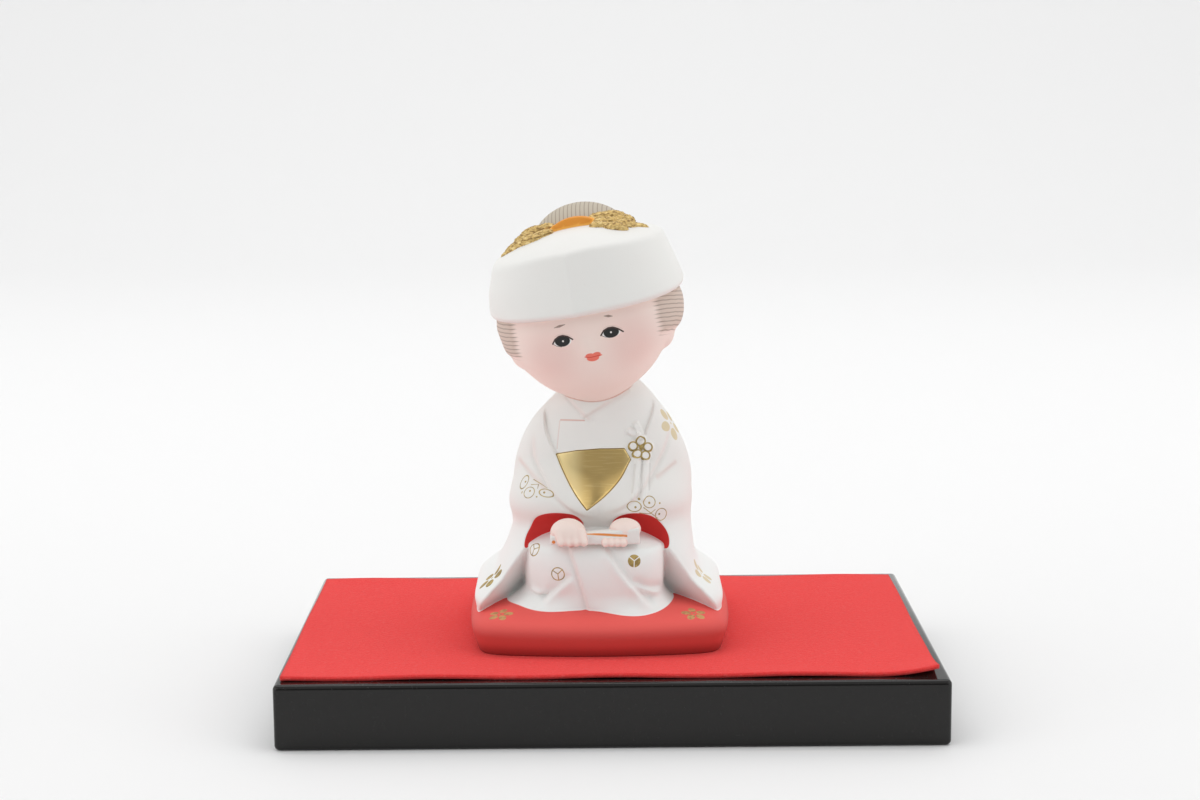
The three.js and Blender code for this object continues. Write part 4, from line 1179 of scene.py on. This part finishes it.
def blossom_group():
    """A plum blossom of five round petals, each a brush dab."""
    nodes, given, result = new_group("plum blossom", "Spot Petal", "Reach", {"Mask": "Float"})
    spot = nodes.add("SeparateXYZ", {0: given["Spot"]}).outputs
    fifth = 2 * math.pi / 5
    angle = nodes.math("ADD", nodes.math("ARCTAN2", spot["X"], spot["Y"]), fifth / 2)
    turn = nodes.math("SUBTRACT", nodes.math("FLOORED_MODULO", angle, fifth), fifth / 2)
    radius = nodes.vector("LENGTH", given["Spot"])
    outward = nodes.times(radius, nodes.math("COSINE", turn))
    outward = nodes.math("SUBTRACT", outward, given["Reach"])
    sideways = nodes.times(radius, nodes.math("SINE", turn))
    dab = nodes.add("CombineXYZ", {"X": outward, "Y": sideways}).outputs[0]
    distance = oval_distance(nodes, dab, (0, 0, 0), given["Petal"])
    nodes.put(result["Mask"], nodes.rising(distance, BRUSH_EDGE, -BRUSH_EDGE))
    return nodes.tree


def grain_group():
    """The primed clay's matte grain: a fine tooth, soft brush marks and a few pits."""
    nodes, given, result = new_group("clay grain", "Place", "", {"Height": "Float", "Mottle": "Float"})
    place = given["Place"]
    tooth = nodes.noise(place, 3.2, 2.0)
    marks = nodes.stretched(place, (0.25, 0.25, 0.9), 2.0)
    pits = nodes.rising(nodes.noise(place, 1.1, 0.0), 0.24, 0.16)
    height = nodes.math("MULTIPLY_ADD", marks, 0.8, tooth)
    nodes.put(result["Height"], nodes.math("SUBTRACT", height, pits))
    nodes.put(result["Mottle"], nodes.noise(place, 0.09, 3.0))
    return nodes.tree


SPOT, GRAIN = spot_group(), grain_group()
MARKS = {
    "disc": (disc_group(), ("Middle", "Radii", "Blur")),
    "ring": (ring_group(), ("Middle", "Radii", "Line")),
    "stroke": (stroke_group(), ("Start", "End", "Line", "Taper")),
    "blossom": (blossom_group(), ("Petal", "Reach")),
}


def path(points, line):
    """Strokes that join the points."""
    return [("stroke", start, end, line) for start, end in zip(points, points[1:])]


class Painter:
    """Paints motifs on the clay. A frame is its middle on the clay, its way across and its way up."""

    def __init__(self, nodes, place, points, faces):
        self.nodes = nodes
        self.place = place
        self.skin = BVHTree.FromPolygons(points.tolist(), faces)

    def frame(self, aim, start=None, up=(0, 0, 1), turn=0.0):
        """The frame where the view from `start`, or from in front, towards `aim` meets the clay.

        It stands as upright as the clay allows, and is then turned by a number of degrees.
        """
        start = Vector(start or (aim[0], aim[1] - VIEW_AWAY, aim[2]))
        hit, normal, _, _ = self.skin.ray_cast(start, (Vector(aim) - start).normalized())
        up = Vector(up)
        up = (up - normal * up.dot(normal)).normalized()
        across = up.cross(normal)
        angle = math.radians(turn)
        turned = math.cos(angle) * across + math.sin(angle) * up
        return hit, turned, math.cos(angle) * up - math.sin(angle) * across

    def mask(self, frame, marks, reach):
        """Where the brush marks are, on the clay within the reach of the frame's middle."""
        middle, across, up = (tuple(value) for value in frame)
        inputs = {"Place": self.place, "Middle": middle, "Across": across, "Up": up, "Reach": reach}
        spot = self.nodes.add("Group", inputs, node_tree=SPOT).outputs
        masks = []
        for kind, *values in marks:
            group, names = MARKS[kind]
            inputs = {"Spot": spot["Spot"]}
            for name, value in zip(names, values):
                if isinstance(value, tuple):
                    value = (*value, 1 if name in ("Radii", "Petal") else 0)
                inputs[name] = value
            masks.append(self.nodes.add("Group", inputs, node_tree=group).outputs["Mask"])
        return self.nodes.times(self.nodes.most(*masks), spot["Near"])

    def layers(self, colour, frame, layers, reach):
        """The colour with the layers painted over it, one after another."""
        for marks, paint, cover in layers:
            mask = self.nodes.times(self.mask(frame, marks, reach), cover)
            colour = self.nodes.over(colour, mask, paint)
        return colour


# Gold motifs: the sleeves carry rings with a twig between them, the knees round crests, and the hem,
# shoulder and cushion plum blossoms. A blossom is where it is seen from, where it lies, its petals' reach,
# a petal's radii and its turn.
LEFT_SLEEVE = {
    "aim": (-20.9, -19.3, 50.8),
    "rings": [((-5.0, 1.9), (1.55, 2.5)), ((-1.4, -1.9), (2.0, 1.9)), ((4.6, -1.2), (2.3, 1.35))],
    "dots": [(-4.5, 2.0), (-1.2, -1.4), (4.0, -1.2)],
    "specks": [((-4.4, -1.9), (0.2, 0.45)), ((1.9, -3.1), (0.3, 0.25))],
    "twig": [((-1.6, 3.0), (4.3, 0.6)), ((-1.6, 0.9), (1.0, 1.3)), ((1.0, 1.3), (1.3, -0.3))],
}
RIGHT_SLEEVE = {
    "aim": (16.2, -24, 44.3),
    "rings": [((-4.7, 0.9), (2.15, 1.65)), ((0.2, 2.2), (1.95, 1.8)), ((4.2, -2.2), (1.95, 2.05))],
    "dots": [(-4.35, 0.65), (0.15, 1.95), (3.55, -2.0)],
    "specks": [((-3.05, 3.2), (0.4, 0.35)), ((3.7, 1.6), (0.3, 0.3))],
    "twig": [((-1.7, 0.5), (3.2, -3.5)), ((-3.0, -1.3), (0.4, -1.6)), ((0.4, -1.6), (2.1, -0.3))],
}
SLEEVE_REACH = 11.0
CRESTS = [
    {"aim": (-13.4, -30.8, 24.6), "radius": 2.1, "filled": False, "turn": 6},
    {"aim": (-21.1, -24.3, 31.4), "radius": 2.1, "filled": False, "turn": -12},
    {"aim": (11.2, -33.2, 29.3), "radius": 2.05, "filled": True, "turn": -4},
]
CREST_ARMS = [(-0.75, 0.6), (0.8, 0.68), (0, -0.98)]
CREST_REACH = 4.0
BLOSSOMS = [
    ((-90, -70, 60), (-36.6, -18.6, 21.2), 3.5, (2.0, 1.6), 30),
    ((-90, 0, 60), (-28.0, 8.0, 60.0), 2.8, (1.5, 1.3), 0),
    ((-60, 90, 60), (-18.0, 28.0, 24.0), 2.9, (1.6, 1.45), 15),
    ((60, 90, 60), (20.0, 28.0, 30.0), 2.9, (1.6, 1.45), -20),
    ((20, 90, 60), (6.0, 22.0, 58.0), 2.8, (1.5, 1.3), 0),
]
PALE_BLOSSOMS = [
    ((90, -60, 90), (23.6, -5.0, 69.0), 3.8, (2.1, 1.7), 20),
    ((90, -70, 60), (35.4, -19.2, 22.6), 3.2, (1.8, 1.5), 0),
]
CUSHION_BLOSSOMS = [
    ((-32.0, -34.0, 60), (-32.0, -33.0, 12.0), 2.6, (1.55, 1.2), 20),
    ((30.3, -34.0, 60), (30.3, -34.0, 12.0), 2.6, (1.55, 1.2), -10),
    ((34.0, 34.0, 60), (35.0, 35.0, 12.0), 2.6, (1.55, 1.2), 30),
    ((-34.0, 36.0, 60), (-34.0, 36.0, 12.0), 2.6, (1.55, 1.2), 0),
]
BLOSSOM_REACH = 7.0


def sleeve_mask(painter, sleeve):
    marks = [("ring", middle, radii, 0.26) for middle, radii in sleeve["rings"]]
    marks += [("disc", middle, (0.36, 0.36)) for middle in sleeve["dots"]]
    marks += [("disc", middle, radii) for middle, radii in sleeve["specks"]]
    marks += [("stroke", start, end, 0.3, 0.5) for start, end in sleeve["twig"]]
    return painter.mask(painter.frame(sleeve["aim"]), marks, SLEEVE_REACH)


def crest_mask(painter, crest):
    at = painter.frame(crest["aim"], turn=crest["turn"])
    radius = crest["radius"]
    arms = [("stroke", (0, 0.05), (x * radius, y * radius), 0.3) for x, y in CREST_ARMS]
    if not crest["filled"]:
        return painter.mask(at, [("ring", (0, 0), (radius, radius), 0.34)] + arms, CREST_REACH)
    disc = painter.mask(at, [("disc", (0, 0), (radius, radius))], CREST_REACH)
    return painter.nodes.math("SUBTRACT", disc, painter.mask(at, arms, CREST_REACH))


def blossoms_mask(painter, rows):
    masks = []
    for start, aim, reach, petal, turn in rows:
        marks = [("blossom", petal, reach), ("disc", (0, 0), (0.4, 0.4))]
        masks.append(painter.mask(painter.frame(aim, start, turn=turn), marks, BLOSSOM_REACH))
    return painter.nodes.most(*masks)


def gold_mask(painter):
    masks = [sleeve_mask(painter, sleeve) for sleeve in (LEFT_SLEEVE, RIGHT_SLEEVE)]
    masks += [crest_mask(painter, crest) for crest in CRESTS]
    return painter.nodes.most(*masks, blossoms_mask(painter, BLOSSOMS))


# Robe paint: white, and below the arms a lighter, cooler white that is painted light; airbrushed pink along
# the folds, and brown under the chin that is also painted shade where the chin meets the collar; a gold sash
# with painted reflections at its ends, red sleeve linings, skin on the hands, an orange line on the fan, and
# gold rings on the flower over painted grey shade between the strands of its white cord.
NECK_BROWN_AND_SHADE = (0.60, 0.25, 0.17, 1)
LINING_RED = (0.68, 0.028, 0.024, 1)
SASH_GOLD = (0.74, 0.53, 0.21, 1)
SASH_STREAK_AND_HIGHLIGHT = (0.95, 0.76, 0.38, 1)
FAN_ORANGE = (0.78, 0.27, 0.06, 1)
CORD_SHADE_GREY = (0.42, 0.39, 0.37, 1)
CHEST_AT = (-9, -14, 70)
CHEST_REACH = 10.0
CHEST_LINES = [
    ([("stroke", (-3.6, 1.75), (4.4, 1.85), 0.45)], FOLD_PINK, 0.8),
    ([("stroke", (-3.9, 1.4), (-4.2, -7.6), 0.4)], FOLD_PINK, 0.3),
]
FLOWER_AT = (13.9, -16, 62.9)
FLOWER_REACH = 6.5
CORD_REACH = 17.0
CORD_SHADE_LINES = [((-2.2, -5.3), (-3.9, -14.9)), ((0.3, -5.3), (-1.0, -14.8)), ((2.7, -5.0), (1.9, -14.0))]
FLOWER_RINGS = [(-0.03, 2.25), (-2.53, 0.79), (2.2, 0.22), (-1.34, -1.87), (1.33, -2.46)]
FLOWER_RING_RADII = (1.42, 1.35)
FAN_LINE_AT = (2, -30, 36.3)
FAN_END_AT = (-14.6, -33, 35.5)


def flower_paint(painter, colour, gold_paint):
    at = painter.frame(FLOWER_AT)
    # Painted shade: faint grey lines between and beside the white strands of the cord.
    cord = [("stroke", start, end, 0.7, 0.2) for start, end in CORD_SHADE_LINES]
    colour = painter.layers(colour, at, [(cord, CORD_SHADE_GREY, 0.22)], CORD_REACH)
    rings = [("ring", middle, FLOWER_RING_RADII, 0.54) for middle in FLOWER_RINGS]
    rings.append(("disc", (0.0, 0.1), (0.6, 1.1)))
    return painter.layers(colour, at, [(rings, gold_paint, 1)], FLOWER_REACH)


def fan_paint(painter):
    line = [("stroke", (-6.8, 1.1), (6.6, 2.0), 0.5)]
    colour = painter.layers(CLAY_WHITE, painter.frame(FAN_LINE_AT), [(line, FAN_ORANGE, 1)], 9.0)
    end = [("disc", (0, 0), (0.55, 0.55))]
    return painter.layers(colour, painter.frame(FAN_END_AT), [(end, FAN_ORANGE, 1)], 2.0)


def sash_paint(nodes, place, across):
    streaks = nodes.stretched(place, (0.12, 0.12, 2.6), 2.0)
    # Painted reflections brighten the sash's left end and, less, its right end; pale streaks follow its
    # brushing.
    streaks_and_highlight = nodes.most(
        nodes.rising(across, -3.5, -8.5),
        nodes.times(nodes.rising(across, 7.0, 10.5), 0.45),
        nodes.times(nodes.rising(streaks, 0.52, 0.66), 0.35),
    )
    return nodes.over(SASH_GOLD, streaks_and_highlight, SASH_STREAK_AND_HIGHLIGHT)


def robe_paint(painter, white, gold, gold_paint):
    nodes, place = painter.nodes, painter.place
    parts = nodes.add("SeparateXYZ", {0: place}).outputs
    # Painted light: below the arms the robes turn a lighter, cooler white, standing in for the light on the
    # lap.
    robe = nodes.over(white, nodes.rising(parts["Z"], 44.0, 30.0), COOL_PAINTED_LIGHT)
    robe = nodes.over(robe, nodes.times(nodes.mark("fold"), 0.45), FOLD_PINK)
    robe = painter.layers(robe, painter.frame(CHEST_AT), CHEST_LINES, CHEST_REACH)
    # Brown under the chin: airbrushed, and also painted shade where the chin meets the collar.
    under_chin = nodes.rising(nodes.math("ABSOLUTE", nodes.mark("head")), 0.95, 0.2)
    under_chin = nodes.times(under_chin, nodes.rising(parts["Y"], -7.0, -10.0))
    robe = nodes.over(robe, nodes.times(under_chin, 0.75), NECK_BROWN_AND_SHADE)
    robe = nodes.over(robe, gold, gold_paint)
    robe = nodes.over(robe, nodes.times(blossoms_mask(painter, PALE_BLOSSOMS), 0.75), GOLD_PALE)
    robe = flower_paint(painter, robe, gold_paint)
    sash = inside(nodes, "sash")
    outline = nodes.rising(nodes.math("ABSOLUTE", nodes.mark("sash")), 0.34, 0.2)
    robe = nodes.over(robe, sash, sash_paint(nodes, place, parts["X"]))
    robe = nodes.over(robe, nodes.times(outline, sash), GOLD_SHADE)
    robe = nodes.over(robe, inside(nodes, "lining"), LINING_RED)
    hand_skin = nodes.over(SKIN, nodes.rising(nodes.mark("hollow"), 0.0, 0.6), BLUSH)
    robe = nodes.over(robe, inside(nodes, "hand"), hand_skin)
    return nodes.over(robe, inside(nodes, "fan"), fan_paint(painter))


# Cushion paint: coral, darker down its sides and darkest at its foot, partly its sprayed tones and partly
# painted shade where the sides turn away from the light above, with a gold blossom at each corner. Its three
# tones run into each other.
CORAL_TOP = (0.80, 0.092, 0.078, 1)
CORAL_SIDE_AND_SHADE = (0.58, 0.068, 0.060, 1)
CORAL_FOOT_AND_SHADE = (0.36, 0.033, 0.030, 1)


def cushion_paint(painter, gold_paint):
    nodes = painter.nodes
    up = nodes.add("SeparateXYZ", {0: painter.place}).outputs["Z"]
    # Darker sides and a darkest foot: sprayed tones and painted shade together.
    seat = nodes.over(CORAL_FOOT_AND_SHADE, nodes.rising(up, 0.5, 4.5), CORAL_SIDE_AND_SHADE)
    seat = nodes.over(seat, nodes.rising(up, 6.0, 11.5), CORAL_TOP)
    return nodes.over(seat, nodes.times(blossoms_mask(painter, CUSHION_BLOSSOMS), 0.8), gold_paint)


# Face paint: a doll's plain features. Both eyes look ahead under fine lids, each with a painted highlight,
# over a small coral mouth, with short brows and cheeks blushed by airbrush.
EYE_BLACK = (0.012, 0.014, 0.014, 1)
EYE_WHITE_AND_GLINT = (0.86, 0.85, 0.83, 1)
LID_BROWN = (0.05, 0.03, 0.025, 1)
LIP_CORAL = (0.83, 0.19, 0.135, 1)
LIP_LINE = (0.62, 0.045, 0.04, 1)
BROW_BROWN = (0.24, 0.18, 0.14, 1)
# An eye's light is the place of its painted highlight, a small white glint on the iris.
EYES = [
    {
        "aim": (-11.2, -26.4, 99.7),
        "white": ((-0.05, -0.35), (3.0, 1.5)),
        "iris": ((0.0, -0.02), (2.55, 1.85)),
        "lid": [(-3.4, -0.6), (-2.35, 0.75), (-0.9, 1.55), (0.5, 1.7), (2.0, 1.15), (3.4, 0.0)],
        "lower": [(-3.3, -0.65), (-2.2, -1.45), (-0.6, -1.9)],
        "fold": [(-2.4, 1.5), (-1.0, 2.15), (0.6, 2.25), (2.2, 1.75), (3.4, 0.8)],
        "light": (0.2, -0.12),
    },
    {
        "aim": (4.4, -27.5, 102.6),
        "white": ((-0.05, -0.3), (3.0, 1.4)),
        "iris": ((0.0, -0.05), (2.5, 1.75)),
        "lid": [(-3.4, -0.45), (-2.3, 0.9), (-0.8, 1.5), (0.7, 1.45), (2.3, 0.65), (3.8, -0.6)],
        "lower": [(-3.3, -0.5), (-2.3, -1.15), (-0.8, -1.65)],
        "fold": [(-2.3, 1.6), (-0.9, 2.1), (0.8, 2.05), (2.4, 1.35), (3.7, 0.3)],
        "light": (-0.1, -0.03),
    },
]
MOUTH_AT = (-1.4, -27.3, 94.6)
LIPS = [
    ("disc", (-1.05, 0.75), (1.3, 0.72)),
    ("disc", (1.15, 0.7), (1.4, 0.74)),
    ("disc", (-0.1, -0.3), (2.0, 1.2)),
    ("stroke", (-0.9, 0.25), (-2.6, 0.4), 1.25, 0.75),
    ("stroke", (1.0, 0.2), (2.8, 0.25), 1.25, 0.75),
]
LIPS_MEET = [(-2.3, 0.3), (-0.9, 0.08), (-0.2, 0.06), (0.9, 0.1), (2.3, 0.2)]
BROWS = [
    {"aim": (-12, -26.6, 104.4), "middle": (-0.1, 0.05), "ends": [(1.85, 0.35), (-1.9, -0.25)]},
    {"aim": (3.4, -27.7, 107.7), "middle": (0.1, 0.05), "ends": [(-1.25, 0.3), (1.4, -0.25)]},
]
CHEEKS = [((-14.6, -24.6, 94.7), (8.2, 7.4)), ((11.2, -25.6, 99.3), (7.6, 8.2))]
CHEEK_BLUR = 5.41


def eye_layers(eye):
    return [
        ([("disc", *eye["white"])], EYE_WHITE_AND_GLINT, 1),
        ([("disc", *eye["iris"])], EYE_BLACK, 1),
        (path(eye["lid"], 0.5) + path(eye["lower"], 0.16), LID_BROWN, 1),
        (path(eye["fold"], 0.12), BROW_BROWN, 0.35),
        # Painted highlight: a small white glint on the iris.
        ([("disc", eye["light"], (0.3, 0.3))], EYE_WHITE_AND_GLINT, 1),
    ]


def face_paint(painter):
    def painted(colour, aim, layers, reach=7.0):
        return painter.layers(colour, painter.frame(aim, up=HEAD_AXES[2]), layers, reach)

    colour = SKIN
    for aim, radii in CHEEKS:
        blush = [("disc", (0, 0), radii, CHEEK_BLUR)]
        colour = painted(colour, aim, [(blush, BLUSH, 0.44)], 16.0)
    for eye in EYES:
        colour = painted(colour, eye["aim"], eye_layers(eye))
    for brow in BROWS:
        strokes = [("stroke", brow["middle"], end, 0.8, 0.8) for end in brow["ends"]]
        colour = painted(colour, brow["aim"], [(strokes, BROW_BROWN, 0.85)])
    return painted(colour, MOUTH_AT, [(LIPS, LIP_CORAL, 1), (path(LIPS_MEET, 0.26), LIP_LINE, 1)])


# Hair paint: brown hair with fine dark comb lines that curve round the head and run out over the skin, the
# white hood, the bun's upright lines, the orange comb with its paler rim, and the gold leaves, streaked
# along their grain with painted shade in its hollows and painted highlights on its ridges.
BUN_GREY = (0.52, 0.46, 0.37, 1)
HAIR_BROWN = (0.66, 0.54, 0.47, 1)
HAIR_LINE = (0.22, 0.15, 0.115, 1)
HAIR_LINES_A_MM = 0.73
BUN_LINES_A_MM = 0.72
COMB_ORANGE = (0.80, 0.31, 0.035, 1)
COMB_RIM = (0.93, 0.46, 0.08, 1)
LEAF_GOLD = (0.68, 0.48, 0.18, 1)
LEAF_HIGHLIGHT = (0.86, 0.69, 0.34, 1)
LEAF_SHADE = (0.30, 0.18, 0.06, 1)


def line_mask(nodes, count, outer, inner):
    """Fine lines, one for each whole number that `count` passes."""
    off_middle = nodes.math("SUBTRACT", nodes.math("FRACT", count), 0.5)
    return nodes.rising(nodes.math("ABSOLUTE", off_middle), outer, inner)


def hair_paint(nodes, place, skin, head):
    tilt = nodes.math("MULTIPLY_ADD", nodes.rising(head[0], -5.0, 5.0), 0.22, -0.04)
    level = nodes.math("MULTIPLY_ADD", nodes.math("MINIMUM", head[1], 0.0), tilt, head[2])
    wander = nodes.times(nodes.noise(place, 0.25, 1.0), 0.4)
    line = line_mask(nodes, nodes.math("MULTIPLY_ADD", level, HAIR_LINES_A_MM, wander), 0.19, 0.07)
    hair = nodes.over(HAIR_BROWN, nodes.times(line, 0.55), HAIR_LINE)
    edge = nodes.math("SUBTRACT", nodes.mark("hair"), line)
    return nodes.over(skin, nodes.rising(edge, 0.9, -1.4), hair)


def head_paint(painter, white, in_leaves):
    """The head's colour and the grain of its gold leaves."""
    nodes, place = painter.nodes, painter.place
    from_head = nodes.vector("SUBTRACT", place, tuple(HEAD_CENTRE))
    head = [nodes.vector("DOT_PRODUCT", from_head, tuple(axis)) for axis in HEAD_AXES]
    top = hair_paint(nodes, place, face_paint(painter), head)
    rim_height = nodes.math("MULTIPLY_ADD", head[1], -HOOD_RIM_SLOPE, head[2])
    rim_from = HOOD_RIM - HOOD_RIM_SLOPE * HOOD_RIM_FRONT
    rim = nodes.rising(rim_height, rim_from + 2.2, rim_from + 1.2)
    top = nodes.over(top, inside(nodes, "hood"), nodes.over(white, nodes.times(rim, 0.45), HOLLOW_PINK))
    bun_line = line_mask(nodes, nodes.times(head[0], BUN_LINES_A_MM), 0.16, 0.05)
    bun_hair = nodes.over(BUN_GREY, nodes.times(bun_line, 0.6), HAIR_LINE)
    top = nodes.over(top, inside(nodes, "bun"), bun_hair)
    comb_edge = nodes.rising(nodes.mark("comb"), -0.9, -0.5)
    top = nodes.over(top, inside(nodes, "comb"), nodes.over(COMB_ORANGE, comb_edge, COMB_RIM))
    in_head_frame = nodes.add("CombineXYZ", {"X": head[0], "Y": head[1], "Z": head[2]}).outputs[0]
    leaf_grain = nodes.stretched(in_head_frame, (0.55, 1.3, 1.5), 3.0)
    # Painted shade in the hollows of the leaves' grain and painted highlights on its ridges.
    leaf_gold = nodes.over(LEAF_SHADE, nodes.rising(leaf_grain, 0.38, 0.52), LEAF_GOLD)
    leaf_gold = nodes.over(leaf_gold, nodes.rising(leaf_grain, 0.56, 0.68), LEAF_HIGHLIGHT)
    return nodes.over(top, in_leaves, leaf_gold), leaf_grain


# Doll: the cast skin with all its paint on it. The clay is matte, and the sash, the leaves and the gold
# motifs are smoother and partly metallic. The sash is brushed level and the leaves are uneven.
HOLLOW_PROBE = 1.6


def painted_clay(points, faces):
    material, shader = new_material("painted_clay", CLAY_WHITE, CLAY_ROUGHNESS)
    nodes = Nodes(material.node_tree)
    place = nodes.vector("SUBTRACT", nodes.place(), tuple(DOLL_PLACE))
    painter = Painter(nodes, place, points, faces)
    grain = nodes.add("Group", {"Place": place}, node_tree=GRAIN).outputs
    mottle = nodes.times(nodes.rising(grain["Mottle"], 0.45, 0.7), 0.15)
    white = nodes.over(CLAY_WHITE, mottle, CLAY_WARM)
    white = nodes.over(white, nodes.times(nodes.rising(nodes.mark("hollow"), 0.15, 0.9), 0.1), HOLLOW_PINK)
    gold = gold_mask(painter)
    uneven = nodes.rising(nodes.noise(place, 0.7, 2.0), 0.42, 0.62)
    gold_paint = nodes.over(GOLD_LINE, nodes.times(uneven, 0.65), GOLD_SHADE)
    in_leaves, in_head_part, sash = (inside(nodes, name) for name in ("leaves", "head", "sash"))
    colour = robe_paint(painter, white, gold, gold_paint)
    colour = nodes.over(colour, inside(nodes, "cushion"), cushion_paint(painter, gold_paint))
    top, leaf_grain = head_paint(painter, white, in_leaves)

    leaf_metal = nodes.times(nodes.times(in_leaves, in_head_part), 0.45)
    metal = nodes.most(nodes.times(sash, 0.95), leaf_metal, nodes.times(gold, 0.25))
    rough = nodes.math("MULTIPLY_ADD", metal, GOLD_ROUGHNESS - CLAY_ROUGHNESS, CLAY_ROUGHNESS)
    brushed = nodes.stretched(place, (0.25, 0.25, 9.0), 2.0)
    height = nodes.math("MULTIPLY_ADD", nodes.times(brushed, sash), 1.5, grain["Height"])
    height = nodes.math("MULTIPLY_ADD", nodes.times(leaf_grain, in_leaves), 6.0, height)
    nodes.fill(shader, {
        "Base Color": nodes.over(colour, in_head_part, top),
        "Metallic": metal,
        "Roughness": rough,
        "Normal": nodes.bump(height, 0.5, 0.035),
    })
    return material


def doll():
    mesh, points = cast_doll()
    faces = [tuple(face.vertices) for face in mesh.polygons]
    mesh.vertices.foreach_set("co", points.astype(np.float32).ravel())
    mesh.update()
    normals = np.empty(len(points) * 3, np.float32)
    mesh.vertex_normals.foreach_get("vector", normals)
    marks = regions(points)
    probes = points + HOLLOW_PROBE * normals.reshape(-1, 3)
    marks["hollow"] = 1 - doll_form(probes) / HOLLOW_PROBE
    marks["fold"] = fold_tint(points)
    for name, values in marks.items():
        attribute = mesh.attributes.new(name, "FLOAT", "POINT")
        attribute.data.foreach_set("value", np.clip(values, -9, 9).astype(np.float32))
    mesh.vertices.foreach_set("co", ((points + DOLL_PLACE) * MM).astype(np.float32).ravel())
    mesh.update()
    piece = new_object("painted_doll", mesh)
    mesh.materials.append(painted_clay(points, faces))
    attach(piece, "root")
    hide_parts("doll")


doll()
